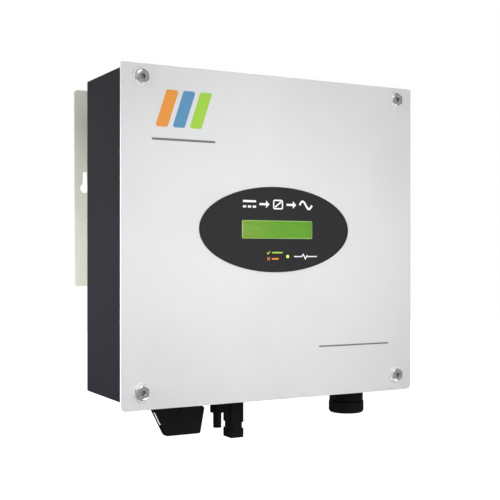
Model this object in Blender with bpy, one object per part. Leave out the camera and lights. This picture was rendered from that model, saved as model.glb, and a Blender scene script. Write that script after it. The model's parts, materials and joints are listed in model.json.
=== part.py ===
"""A single-phase string inverter hanging on its wall bracket.

Metres, +Z up. The wall is the plane Y = 0 and the inverter's front faces -Y. The origin is the
centre of the wall bracket's back face. X runs to the right when one stands in front of it.
"""

import math

import bmesh
import bpy
from mathutils import Vector

GAP = 0.0003  # between pieces that touch

# Front cover
COVER_WIDTH = 0.340
COVER_HEIGHT = 0.330
COVER_CENTRE_Z = -0.054
COVER_SHEET = 0.002
COVER_FRONT = -0.142
COVER_BACK = COVER_FRONT + COVER_SHEET
COVER_TOP = COVER_CENTRE_Z + COVER_HEIGHT / 2
COVER_BOTTOM = COVER_CENTRE_Z - COVER_HEIGHT / 2
COVER_TOP_RADIUS = 0.0015
COVER_BOTTOM_RADIUS = 0.006

# Gasket and enclosure, which the cover overhangs
GASKET_THICKNESS = 0.002
GASKET_FRONT = COVER_BACK + GAP
GASKET_BACK = GASKET_FRONT + GASKET_THICKNESS
GASKET_INSET = 0.0014
BODY_WALL = 0.002
BODY_FRONT = GASKET_BACK + GAP
BODY_BACK = COVER_FRONT + 0.097
BODY_HALF_WIDTH = COVER_WIDTH / 2 - 0.0006
BODY_TOP = COVER_TOP - 0.0045
BODY_BOTTOM = COVER_BOTTOM + 0.0082
BODY_EDGE_RADIUS = 0.0015
BACK_INSIDE = BODY_BACK - BODY_WALL
FLOOR_INSIDE = BODY_BOTTOM + BODY_WALL
MOUTH_INSET = 0.0154

# Cover screws
SCREW_X = 0.149
SCREW_TOP_Z = COVER_CENTRE_Z + 0.152
SCREW_BOTTOM_Z = COVER_CENTRE_Z - 0.148
SCREW_RADIUS = 0.003
SCREW_HOLE_RADIUS = 0.0036
SCREW_END = -0.124
SCREW_BOSS_WIDTH = 0.015
SCREW_BOSS_SIZE = 0.014
WASHER_RADIUS = 0.009
WASHER_THICKNESS = 0.0012
HEAD_ACROSS_FLATS = 0.0125
HEAD_HEIGHT = 0.0032
HEAD_SOCKET_RADIUS = 0.0024

# Display
DISPLAY_Z = COVER_CENTRE_Z + 0.0085
OVERLAY_X = -0.0011
OVERLAY_WIDTH = 0.175
OVERLAY_HEIGHT = 0.087
OVERLAY_THICKNESS = 0.0008
OVERLAY_BACK = COVER_FRONT - GAP
WINDOW_WIDTH = 0.083
WINDOW_HEIGHT = 0.0186
LAMP_X = 0.012
LAMP_Z = COVER_CENTRE_Z - 0.019
LAMP_RADIUS = 0.0015
LCD_BACK = -0.131
LCD_CELL_WIDTH = WINDOW_WIDTH + 0.002
LCD_CELL_HEIGHT = WINDOW_HEIGHT + 0.002
LCD_CELL_DEPTH = 0.005
LCD_BEZEL_WIDTH = 0.098
LCD_BEZEL_HEIGHT = 0.027
BOARD_THICKNESS = 0.0016
DISPLAY_BOARD_LOW_Z = -0.082
DISPLAY_BOARD_HIGH_Z = -0.026
DISPLAY_BOARD_WIDTH = 0.120
STUD_X = 0.0555
STUD_RADIUS = 0.0025
STUD_MARGIN = 0.005
LAMP_HOLE_RADIUS = 0.0028

# Connectors and the isolator under the box
CONNECTOR_Y = COVER_FRONT + 0.045
UNDERSIDE = BODY_BOTTOM - GAP
INSIDE_SEAT = FLOOR_INSIDE + GAP
SWITCH_X = -0.0930
PV_SOCKET_X = -0.046
PV_PLUG_X = -0.0271
AC_X = 0.115
COMM_X = 0.035
EARTH_X = 0.152
EARTH_HOLE_RADIUS = 0.0029
SWITCH_HOLE_RADIUS = 0.0070
SWITCH_SHAFT_RADIUS = 0.0026
SWITCH_BODY_WIDTH = 0.050
SWITCH_BODY_DEPTH = 0.044
SWITCH_BODY_HEIGHT = 0.046
ESCUTCHEON_RADIUS = 0.030
ESCUTCHEON_THICKNESS = 0.0025
HANDLE_TOP = UNDERSIDE - ESCUTCHEON_THICKNESS - GAP
HANDLE_DISC_RADIUS = 0.028
HANDLE_DISC_THICKNESS = 0.005
BLADE_THICKNESS = 0.0108
BLADE_BOTTOM = COVER_BOTTOM - 0.035
BLADE_HALF_WIDTH = 0.0300
BLADE_SHOULDER = 0.0090
BLADE_FOOT_LEFT = -0.0128
BLADE_FOOT_RIGHT = 0.0254
BLADE_FOOT_BEVEL = 0.0012
PV_STUB_RADIUS = 0.0050
PV_STUB_HOLE_RADIUS = 0.0055
PV_STUB_HEIGHT = 0.012
PV_CHANNEL_RADIUS = 0.0022
PV_COLLAR_RADIUS = 0.0075
PV_COLLAR_BOTTOM = COVER_BOTTOM - 0.0157
PV_BARREL_RADIUS = 0.0043
PV_BARREL_BOTTOM = COVER_BOTTOM - 0.0314
PV_BARREL_BORE_RADIUS = 0.0033
PV_PLUG_WIDTH = 0.0152
PV_PLUG_DEPTH = 0.0185
PV_PLUG_EDGE_RADIUS = 0.0012
PV_PLUG_BOTTOM = COVER_BOTTOM - 0.0426
PV_PLUG_BORE_RADIUS = 0.0048
PV_NOTCH_TOP = COVER_BOTTOM - 0.0264
PV_NOTCH_BOTTOM = COVER_BOTTOM - 0.0328
PV_NOTCH_DEPTH = 0.0018
AC_HOLE_RADIUS = 0.0142
AC_STUB_RADIUS = 0.0138
AC_FLANGE_RADIUS = 0.0187
AC_FLANGE_BOTTOM = COVER_BOTTOM - 0.0137
AC_CORE_RADIUS = 0.0152
AC_RING_RADIUS = 0.0194
AC_RING_TOP = AC_FLANGE_BOTTOM - 0.0004
AC_RING_BOTTOM = COVER_BOTTOM - 0.0270
AC_SOCKET_RADIUS = 0.0126
AC_PIN_CIRCLE = 0.0065
AC_PIN_RADIUS = 0.002
COMM_OPENING_WIDTH = 0.029
COMM_OPENING_DEPTH = 0.011
COMM_PLATE_WIDTH = 0.052
COMM_PLATE_DEPTH = 0.024
COMM_PLATE_THICKNESS = 0.002
COMM_PLATE_RADIUS = 0.003
COMM_RECESS_DEPTH = 0.0012
COMM_SCREW_OFFSET = 0.021
COMM_HOLE_RADIUS = 0.002
COMM_HEAD_RADIUS = 0.0028
COMM_HEAD_HEIGHT = 0.0016
COMM_SHANK_RADIUS = 0.0015

# Wall bracket, hanger rail and heatsink behind the box
BRACKET_WIDTH = 0.337
BRACKET_HEIGHT = 0.209
BRACKET_SHEET = 0.002
KEYHOLE_X = BRACKET_WIDTH / 2 - 0.0117
KEYHOLE_Z = 0.0
KEYHOLE_RADIUS = 0.005
KEYHOLE_SLOT_WIDTH = 0.0045
KEYHOLE_SLOT_TOP = 0.0175
HOOK_X = 0.070
HOOK_WIDTH = 0.034
HOOK_SHELF_Z = 0.070
HOOK_TOP = 0.086
HOOK_REACH = 0.010
HOOK_WINDOW_HEIGHT = 0.026
RAIL_WIDTH = 0.220
RAIL_SHEET = 0.0025
RAIL_LOW_Z = 0.062
RAIL_TOP = HOOK_TOP + GAP + RAIL_SHEET
RAIL_LIP_BACK = -0.0040
RAIL_LIP_LOW_Z = 0.0755
SINK_WIDTH = 0.286
SINK_BASE = 0.006
SINK_FIN_TIPS = -0.0045
SINK_FIN_THICKNESS = 0.0022
SINK_FINS = 20
SINK_LOW_Z = -0.198
SINK_HIGH_Z = 0.056

# Boards inside
MAIN_BOARD_BACK = -0.0580
MAIN_BOARD_FRONT = MAIN_BOARD_BACK - BOARD_THICKNESS
MAIN_BOARD_HALF_WIDTH = 0.140
MAIN_BOARD_LOW_Z = -0.150
MAIN_BOARD_HIGH_Z = 0.082
ON_BOARD = MAIN_BOARD_FRONT - GAP
POST_RADIUS = 0.004
POST_X = 0.130
POST_LOW_Z = -0.140
POST_HIGH_Z = 0.072

AXES = {
    "X": (Vector((0, 1, 0)), Vector((0, 0, 1)), Vector((1, 0, 0))),
    "Y": (Vector((1, 0, 0)), Vector((0, 0, 1)), Vector((0, 1, 0))),
    "Z": (Vector((1, 0, 0)), Vector((0, 1, 0)), Vector((0, 0, 1))),
}


# Shapes, drawn about the origin


def box_shape(width, depth, height):
    shape = bmesh.new()
    bmesh.ops.create_cube(shape, size=1.0)
    bmesh.ops.scale(shape, vec=(width, depth, height), verts=shape.verts)
    return shape


def prism_shape(outline, length, axis):
    """An outline pushed out along an axis, half of its length each way."""
    across, up, along = AXES[axis]
    shape = bmesh.new()
    flat = [across * u + up * v for u, v in outline]
    low = [shape.verts.new(point - along * length / 2) for point in flat]
    high = [shape.verts.new(point + along * length / 2) for point in flat]
    shape.faces.new(low)
    shape.faces.new(high)
    for i in range(len(flat)):
        shape.faces.new((low[i - 1], low[i], high[i], high[i - 1]))
    return shape


def turned_shape(profile, axis, steps=32):
    """A profile of (radius, height) points turned about an axis; one that leaves the axis is a ring."""
    across, up, along = AXES[axis]
    shape = bmesh.new()
    rings = []
    for radius, height in profile:
        if radius == 0:
            rings.append([shape.verts.new(along * height)] * steps)
            continue
        angles = [math.tau * i / steps for i in range(steps)]
        rim = [across * math.cos(angle) + up * math.sin(angle) for angle in angles]
        rings.append([shape.verts.new(along * height + point * radius) for point in rim])
    is_ring = profile[0][0] > 0
    for k in range(0 if is_ring else 1, len(rings)):
        first, second = rings[k - 1], rings[k]
        for i in range(steps):
            corners = [first[i - 1], first[i], second[i], second[i - 1]]
            corners = list(dict.fromkeys(corners))
            if len(corners) > 2:
                shape.faces.new(corners)
    return shape


def rod_shape(radius, length, axis, steps=32):
    ends = ((0, -length / 2), (radius, -length / 2), (radius, length / 2), (0, length / 2))
    return turned_shape(ends, axis, steps)


def tube_shape(outer, inner, length, axis, steps=32):
    half = length / 2
    return turned_shape(((inner, -half), (outer, -half), (outer, half), (inner, half)), axis, steps)


def gathered(placed_shapes):
    """Several separate shapes as one, each with the place that its origin goes to."""
    whole = bmesh.new()
    for shape, place in placed_shapes:
        bmesh.ops.translate(shape, vec=place, verts=shape.verts)
        mesh = bpy.data.meshes.new("gathered")
        shape.to_mesh(mesh)
        shape.free()
        whole.from_mesh(mesh)
        bpy.data.meshes.remove(mesh)
    return whole


# Outlines


def arc(centre, radius, start, end, steps):
    """Points on an arc, in degrees."""
    angles = [math.radians(start + (end - start) * i / steps) for i in range(steps + 1)]
    return [(centre[0] + radius * math.cos(a), centre[1] + radius * math.sin(a)) for a in angles]


def rounded_outline(width, height, top_radius, bottom_radius, steps=4):
    x, z = width / 2, height / 2
    top, low = top_radius, bottom_radius
    return (
        arc((x - top, z - top), top, 0, 90, steps)
        + arc((top - x, z - top), top, 90, 180, steps)
        + arc((low - x, low - z), low, 180, 270, steps)
        + arc((x - low, low - z), low, 270, 360, steps)
    )


def ellipse_outline(width, height, steps=72):
    angles = [math.tau * i / steps for i in range(steps)]
    return [(width / 2 * math.cos(a), height / 2 * math.sin(a)) for a in angles]


def hexagon_outline(across_flats):
    """A hexagon with a corner at the top."""
    radius = across_flats / math.sqrt(3)
    angles = [math.radians(30 + 60 * i) for i in range(6)]
    return [(radius * math.cos(a), radius * math.sin(a)) for a in angles]


def slot_outline(width, height):
    """A slot with a round top and a square foot."""
    radius = width / 2
    foot = [(-radius, -height / 2), (radius, -height / 2)]
    return foot + arc((0, height / 2 - radius), radius, 0, 180, 8)


# Objects


def finish(name, colour, roughness, metallic=0.0, alpha=1.0):
    material = bpy.data.materials.new(name)
    material.use_nodes = True
    shader = material.node_tree.nodes["Principled BSDF"]
    shader.inputs["Base Color"].default_value = (*colour, 1.0)
    shader.inputs["Roughness"].default_value = roughness
    shader.inputs["Metallic"].default_value = metallic
    shader.inputs["Alpha"].default_value = alpha
    return material


def piece(name, shape, place, material):
    """An object made of a shape, standing at a place."""
    mesh = bpy.data.meshes.new(name)
    bmesh.ops.recalc_face_normals(shape, faces=shape.faces)
    shape.to_mesh(mesh)
    shape.free()
    mesh.materials.append(material)
    mesh.shade_smooth()
    mesh.set_sharp_from_angle(angle=math.radians(30))
    obj = bpy.data.objects.new(name, mesh)
    bpy.context.scene.collection.objects.link(obj)
    obj.location = place
    return obj


def block(name, low, high, material):
    """A box between two opposite corners."""
    low, high = Vector(low), Vector(high)
    return piece(name, box_shape(*(high - low)), (low + high) / 2, material)


def soften(obj, width, segments=2):
    bevel = obj.modifiers.new("edges", "BEVEL")
    bevel.width = width
    bevel.segments = segments
    bevel.limit_method = "ANGLE"


def combine(target, tool, operation):
    """Cut a tool out of a target, or join it on, and keep the tool as a guide only."""
    tool.hide_render = True
    tool.display_type = "WIRE"
    change = target.modifiers.new(tool.name, "BOOLEAN")
    change.operation = operation
    change.solver = "EXACT"
    change.object = tool


def lead_between(name, start, start_way, end, end_way, radius, material):
    """A round wire between two places, leaving each of them the way given."""
    curve = bpy.data.curves.new(name, "CURVE")
    curve.dimensions = "3D"
    curve.bevel_depth = radius
    curve.bevel_resolution = 1
    curve.resolution_u = 12
    curve.use_fill_caps = True
    spline = curve.splines.new("BEZIER")
    spline.bezier_points.add(1)
    for knot, place, way in zip(spline.bezier_points, (start, end), (start_way, end_way)):
        knot.handle_left_type = "FREE"
        knot.handle_right_type = "FREE"
        knot.co = place
        knot.handle_left = Vector(place) + Vector(way)
        knot.handle_right = Vector(place) + Vector(way)
    curve.materials.append(material)
    obj = bpy.data.objects.new(name, curve)
    bpy.context.scene.collection.objects.link(obj)
    return obj


def carry(empty_name, place, pieces):
    """Parent pieces to an empty, leaving them where they stand."""
    empty = bpy.data.objects.new(empty_name, None)
    bpy.context.scene.collection.objects.link(empty)
    empty.location = place
    for obj in pieces:
        obj.parent = empty
        obj.location = obj.location - Vector(place)
    return empty


# The sub-parts


def wall_bracket(zinc):
    """A sheet with a keyhole near each side edge, and two hooks bent forwards out of it."""
    sheet = prism_shape(rounded_outline(BRACKET_WIDTH, BRACKET_HEIGHT, 0.004, 0.004), BRACKET_SHEET, "Y")
    bracket = piece("wall_bracket", sheet, (0, -BRACKET_SHEET / 2, 0), zinc)
    front = -BRACKET_SHEET
    tip = front - HOOK_REACH + BRACKET_SHEET
    hook = [
        (front / 2, HOOK_SHELF_Z),
        (tip, HOOK_SHELF_Z),
        (tip, HOOK_TOP),
        (tip + BRACKET_SHEET, HOOK_TOP),
        (tip + BRACKET_SHEET, HOOK_SHELF_Z + BRACKET_SHEET),
        (front / 2, HOOK_SHELF_Z + BRACKET_SHEET),
    ]
    hooks = gathered([(prism_shape(hook, HOOK_WIDTH, "X"), (side * HOOK_X, 0, 0)) for side in (-1, 1)])
    combine(bracket, piece("hooks", hooks, (0, 0, 0), zinc), "UNION")

    through = BRACKET_SHEET * 3
    slot_height = KEYHOLE_SLOT_TOP - KEYHOLE_Z
    slot_z = KEYHOLE_Z + slot_height / 2
    window_z = HOOK_SHELF_Z - GAP - HOOK_WINDOW_HEIGHT / 2
    round_holes = []
    slots = []
    windows = []
    for side in (-1, 1):
        round_hole = rod_shape(KEYHOLE_RADIUS, through, "Y", 20)
        slot = prism_shape(slot_outline(KEYHOLE_SLOT_WIDTH, slot_height), through, "Y")
        window = box_shape(HOOK_WIDTH, through, HOOK_WINDOW_HEIGHT)
        round_holes.append((round_hole, (side * KEYHOLE_X, 0, KEYHOLE_Z)))
        slots.append((slot, (side * KEYHOLE_X, 0, slot_z)))
        windows.append((window, (side * HOOK_X, 0, window_z)))
    tools = {"keyhole_rounds": round_holes, "keyhole_slots": slots, "hook_windows": windows}
    for name, holes in tools.items():
        combine(bracket, piece(name, gathered(holes), (0, 0, 0), zinc), "DIFFERENCE")
    return bracket


def screw_places():
    """The four cover screws by name: top left, top right, bottom left and bottom right."""
    rows = (("top", SCREW_TOP_Z), ("bottom", SCREW_BOTTOM_Z))
    columns = (("left", -SCREW_X), ("right", SCREW_X))
    return {f"{row}_{column}": (x, z) for row, z in rows for column, x in columns}


def enclosure(paint):
    """A box open at the front, with a flange for the gasket, screw bosses and board posts."""
    depth = BODY_BACK - BODY_FRONT
    height = BODY_TOP - BODY_BOTTOM
    middle = ((BODY_FRONT + BODY_BACK) / 2, (BODY_TOP + BODY_BOTTOM) / 2)
    shell = piece("enclosure", box_shape(2 * BODY_HALF_WIDTH, depth, height), (0, *middle), paint)
    soften(shell, BODY_EDGE_RADIUS)
    hollow = box_shape(2 * (BODY_HALF_WIDTH - BODY_WALL), depth - 2 * BODY_WALL, height - 2 * BODY_WALL)
    combine(shell, piece("hollow", hollow, (0, *middle), paint), "DIFFERENCE")
    mouth = box_shape(2 * (BODY_HALF_WIDTH - MOUTH_INSET), 4 * BODY_WALL, height - 2 * MOUTH_INSET)
    combine(shell, piece("mouth", mouth, (0, BODY_FRONT, middle[1]), paint), "DIFFERENCE")

    boss_front = BODY_FRONT + BODY_WALL / 2
    boss_back = BODY_FRONT + BODY_WALL + SCREW_BOSS_SIZE
    boss_depth = boss_back - boss_front
    boss_y = (boss_front + boss_back) / 2
    bosses = []
    bores = []
    for name, (x, z) in screw_places().items():
        wall = BODY_TOP if name.startswith("top") else BODY_BOTTOM
        inwards = -1 if name.startswith("top") else 1
        boss_z = wall + inwards * (BODY_WALL + SCREW_BOSS_SIZE) / 2
        bosses.append((box_shape(SCREW_BOSS_WIDTH, boss_depth, SCREW_BOSS_SIZE), (x, boss_y, boss_z)))
        bores.append((rod_shape(SCREW_HOLE_RADIUS, 4 * boss_depth, "Y", 16), (x, BODY_FRONT, z)))
    combine(shell, piece("screw_bosses", gathered(bosses), (0, 0, 0), paint), "UNION")
    combine(shell, piece("screw_bores", gathered(bores), (0, 0, 0), paint), "DIFFERENCE")

    post_front = MAIN_BOARD_BACK + GAP
    post_back = BODY_BACK - BODY_WALL / 2
    posts = [
        (rod_shape(POST_RADIUS, post_back - post_front, "Y", 12), (x, (post_front + post_back) / 2, z))
        for x in (-POST_X, POST_X)
        for z in (POST_LOW_Z, POST_HIGH_Z)
    ]
    combine(shell, piece("board_posts", gathered(posts), (0, 0, 0), paint), "UNION")

    tall = 6 * BODY_WALL
    floor_z = BODY_BOTTOM + BODY_WALL / 2
    round_holes = (
        (SWITCH_X, SWITCH_HOLE_RADIUS),
        (PV_SOCKET_X, PV_STUB_HOLE_RADIUS),
        (PV_PLUG_X, PV_STUB_HOLE_RADIUS),
        (AC_X, AC_HOLE_RADIUS),
        (EARTH_X, EARTH_HOLE_RADIUS),
        (COMM_X - COMM_SCREW_OFFSET, COMM_HOLE_RADIUS),
        (COMM_X + COMM_SCREW_OFFSET, COMM_HOLE_RADIUS),
    )
    holes = [(rod_shape(radius, tall, "Z", 24), (x, CONNECTOR_Y, floor_z)) for x, radius in round_holes]
    opening = box_shape(COMM_OPENING_WIDTH, COMM_OPENING_DEPTH, tall)
    holes.append((opening, (COMM_X, CONNECTOR_Y, floor_z)))
    combine(shell, piece("floor_holes", gathered(holes), (0, 0, 0), paint), "DIFFERENCE")
    return shell


def cover_gasket(rubber):
    width = 2 * (BODY_HALF_WIDTH - GASKET_INSET)
    height = BODY_TOP - BODY_BOTTOM - 2 * GASKET_INSET
    centre_z = (BODY_TOP + BODY_BOTTOM) / 2
    band = MOUTH_INSET - GASKET_INSET
    centre_y = (GASKET_FRONT + GASKET_BACK) / 2
    frame = box_shape(width, GASKET_THICKNESS, height)
    gasket = piece("cover_gasket", frame, (0, centre_y, centre_z), rubber)
    middle = box_shape(width - 2 * band, 3 * GASKET_THICKNESS, height - 2 * band)
    combine(gasket, piece("gasket_middle", middle, (0, centre_y, centre_z), rubber), "DIFFERENCE")
    bores = [
        (rod_shape(SCREW_HOLE_RADIUS, 3 * GASKET_THICKNESS, "Y", 16), (x, centre_y, z))
        for x, z in screw_places().values()
    ]
    combine(gasket, piece("gasket_bores", gathered(bores), (0, 0, 0), rubber), "DIFFERENCE")
    return gasket


def front_cover(paint):
    """A flat plate with the display's openings, and four studs behind it for the display board."""
    outline = rounded_outline(COVER_WIDTH, COVER_HEIGHT, COVER_TOP_RADIUS, COVER_BOTTOM_RADIUS, 5)
    centre_y = (COVER_FRONT + COVER_BACK) / 2
    plate = prism_shape(outline, COVER_SHEET, "Y")
    cover = piece("front_cover", plate, (0, centre_y, COVER_CENTRE_Z), paint)
    stud_start = COVER_BACK - COVER_SHEET / 2
    stud_end = LCD_BACK
    studs = [
        (rod_shape(STUD_RADIUS, stud_end - stud_start, "Y", 12), (x, (stud_start + stud_end) / 2, z))
        for x in (-STUD_X, STUD_X)
        for z in (DISPLAY_BOARD_LOW_Z + STUD_MARGIN, DISPLAY_BOARD_HIGH_Z - STUD_MARGIN)
    ]
    combine(cover, piece("cover_studs", gathered(studs), (0, 0, 0), paint), "UNION")
    through = 3 * COVER_SHEET
    holes = [
        (rod_shape(SCREW_HOLE_RADIUS, through, "Y", 16), (x, COVER_FRONT, z))
        for x, z in screw_places().values()
    ]
    holes.append((rod_shape(LAMP_HOLE_RADIUS, through, "Y", 16), (LAMP_X, COVER_FRONT, LAMP_Z)))
    holes.append((box_shape(LCD_CELL_WIDTH, through, LCD_CELL_HEIGHT), (0, COVER_FRONT, DISPLAY_Z)))
    combine(cover, piece("cover_holes", gathered(holes), (0, 0, 0), paint), "DIFFERENCE")
    return cover


def cover_fasteners(steel):
    """A washer and a hexagonal screw with a small socket, for each corner of the cover."""
    made = []
    washer_back = COVER_FRONT - GAP
    rim = WASHER_THICKNESS / 3
    washer = (
        (SCREW_HOLE_RADIUS, 0),
        (SCREW_HOLE_RADIUS, -WASHER_THICKNESS),
        (0.8 * WASHER_RADIUS, -WASHER_THICKNESS),
        (WASHER_RADIUS, -rim),
        (WASHER_RADIUS, 0),
    )
    seat = washer_back - WASHER_THICKNESS - GAP
    crown = 0.0005
    shank_length = SCREW_END - seat + HEAD_HEIGHT / 2
    for name, (x, z) in screw_places().items():
        ring = turned_shape(washer, "Y", 32)
        made.append(piece(f"cover_washer_{name}", ring, (x, washer_back, z), steel))
        head = prism_shape(hexagon_outline(HEAD_ACROSS_FLATS), HEAD_HEIGHT, "Y")
        screw = piece(f"cover_screw_{name}", head, (x, seat - HEAD_HEIGHT / 2, z), steel)
        soften(screw, crown, 1)
        shank = rod_shape(SCREW_RADIUS, shank_length, "Y", 16)
        shank_y = SCREW_END - shank_length / 2
        combine(screw, piece(f"shank_{name}", shank, (x, shank_y, z), steel), "UNION")
        socket = rod_shape(HEAD_SOCKET_RADIUS, HEAD_HEIGHT, "Y", 12)
        socket_tool = piece(f"socket_{name}", socket, (x, seat - HEAD_HEIGHT, z), steel)
        combine(screw, socket_tool, "DIFFERENCE")
        made.append(screw)
    return made


def display(overlay_black, clear, lamp_lens, backlit, tin, board_green):
    """The elliptical overlay with its window, and the lamp, LCD and board behind it."""
    overlay_front = OVERLAY_BACK - OVERLAY_THICKNESS
    overlay_y = (overlay_front + OVERLAY_BACK) / 2
    foil = prism_shape(ellipse_outline(OVERLAY_WIDTH, OVERLAY_HEIGHT), OVERLAY_THICKNESS, "Y")
    overlay = piece("display_overlay", foil, (OVERLAY_X, overlay_y, DISPLAY_Z), overlay_black)
    through = 4 * OVERLAY_THICKNESS
    holes = [
        (box_shape(WINDOW_WIDTH, through, WINDOW_HEIGHT), (0, overlay_y, DISPLAY_Z)),
        (rod_shape(LAMP_RADIUS + GAP, through, "Y", 16), (LAMP_X, overlay_y, LAMP_Z)),
    ]
    combine(overlay, piece("overlay_holes", gathered(holes), (0, 0, 0), overlay_black), "DIFFERENCE")

    pane = box_shape(WINDOW_WIDTH - 2 * GAP, OVERLAY_THICKNESS, WINDOW_HEIGHT - 2 * GAP)
    window = piece("display_window", pane, (0, overlay_y, DISPLAY_Z), clear)

    lcd_front = COVER_BACK + GAP
    bezel_depth = LCD_BACK - lcd_front
    bezel_shape = box_shape(LCD_BEZEL_WIDTH, bezel_depth, LCD_BEZEL_HEIGHT)
    bezel = piece("lcd_bezel", bezel_shape, (0, (lcd_front + LCD_BACK) / 2, DISPLAY_Z), tin)
    soften(bezel, 0.0008, 1)
    opening = box_shape(LCD_CELL_WIDTH, 3 * bezel_depth, LCD_CELL_HEIGHT)
    combine(bezel, piece("bezel_opening", opening, (0, LCD_BACK, DISPLAY_Z), tin), "DIFFERENCE")
    cell_shape = box_shape(LCD_CELL_WIDTH - 2 * GAP, LCD_CELL_DEPTH, LCD_CELL_HEIGHT - 2 * GAP)
    cell = piece("lcd_cell", cell_shape, (0, lcd_front + LCD_CELL_DEPTH / 2, DISPLAY_Z), backlit)

    board_front = LCD_BACK + GAP
    half = DISPLAY_BOARD_WIDTH / 2
    board = block(
        "display_board",
        (-half, board_front, DISPLAY_BOARD_LOW_Z),
        (half, board_front + BOARD_THICKNESS, DISPLAY_BOARD_HIGH_Z),
        board_green,
    )

    lamp_tip = overlay_front - 0.0005
    lamp_profile = (
        (0, board_front - GAP),
        (0.0024, board_front - GAP),
        (0.0024, COVER_BACK + COVER_SHEET / 2),
        (LAMP_RADIUS, COVER_BACK - COVER_SHEET / 2),
        (LAMP_RADIUS, lamp_tip + 0.0006),
        (0.6 * LAMP_RADIUS, lamp_tip + 0.0001),
        (0, lamp_tip),
    )
    lamp = piece("status_lamp", turned_shape(lamp_profile, "Y", 16), (LAMP_X, 0, LAMP_Z), lamp_lens)
    return [overlay, window, bezel, cell, board, lamp]


def dc_isolator(black, grey, steel):
    """The handle and its shaft, which turn, and the escutcheon and switch body, which do not."""
    ring = tube_shape(ESCUTCHEON_RADIUS, 0.0065, ESCUTCHEON_THICKNESS, "Z", 40)
    ring_z = UNDERSIDE - ESCUTCHEON_THICKNESS / 2
    escutcheon = piece("switch_escutcheon", ring, (SWITCH_X, CONNECTOR_Y, ring_z), grey)

    disc_z = HANDLE_TOP - HANDLE_DISC_THICKNESS / 2
    axis_point = (SWITCH_X, CONNECTOR_Y, disc_z)
    disc = rod_shape(HANDLE_DISC_RADIUS, HANDLE_DISC_THICKNESS, "Z", 40)
    handle = piece("switch_handle", disc, axis_point, black)
    top = -HANDLE_DISC_THICKNESS / 4
    low = BLADE_BOTTOM - disc_z
    cover_edge = COVER_BOTTOM - disc_z
    blade = [
        (-BLADE_HALF_WIDTH, top),
        (BLADE_HALF_WIDTH - BLADE_SHOULDER, top),
        (BLADE_HALF_WIDTH - BLADE_SHOULDER, cover_edge),
        (BLADE_HALF_WIDTH, cover_edge - BLADE_SHOULDER),
        (BLADE_FOOT_RIGHT, low + BLADE_FOOT_BEVEL),
        (BLADE_FOOT_RIGHT - BLADE_FOOT_BEVEL, low),
        (BLADE_FOOT_LEFT + BLADE_FOOT_BEVEL, low),
        (BLADE_FOOT_LEFT, low + BLADE_FOOT_BEVEL),
        (-BLADE_HALF_WIDTH, cover_edge),
    ]
    blade_tool = piece("handle_blade", prism_shape(blade, BLADE_THICKNESS, "Y"), axis_point, black)
    soften(blade_tool, 0.0006, 1)
    combine(handle, blade_tool, "UNION")
    shaft_low = HANDLE_TOP - 0.012
    shaft_high = FLOOR_INSIDE + 0.038
    seat = rod_shape(SWITCH_SHAFT_RADIUS + GAP, 0.030, "Z", 20)
    seat_tool = piece("shaft_seat", seat, (SWITCH_X, CONNECTOR_Y, shaft_low - GAP + 0.015), black)
    combine(handle, seat_tool, "DIFFERENCE")

    shaft_place = (SWITCH_X, CONNECTOR_Y, (shaft_low + shaft_high) / 2)
    shaft_shape = rod_shape(SWITCH_SHAFT_RADIUS, shaft_high - shaft_low, "Z", 20)
    shaft = piece("switch_shaft", shaft_shape, shaft_place, steel)

    half_width = SWITCH_BODY_WIDTH / 2
    half_depth = SWITCH_BODY_DEPTH / 2
    body = block(
        "switch_body",
        (SWITCH_X - half_width, CONNECTOR_Y - half_depth, INSIDE_SEAT),
        (SWITCH_X + half_width, CONNECTOR_Y + half_depth, INSIDE_SEAT + SWITCH_BODY_HEIGHT),
        grey,
    )
    soften(body, 0.0015, 1)
    bore = rod_shape(SWITCH_SHAFT_RADIUS + GAP, 0.080, "Z", 20)
    combine(body, piece("switch_bore", bore, (SWITCH_X, CONNECTOR_Y, INSIDE_SEAT), grey), "DIFFERENCE")
    return escutcheon, handle, shaft, body


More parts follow.
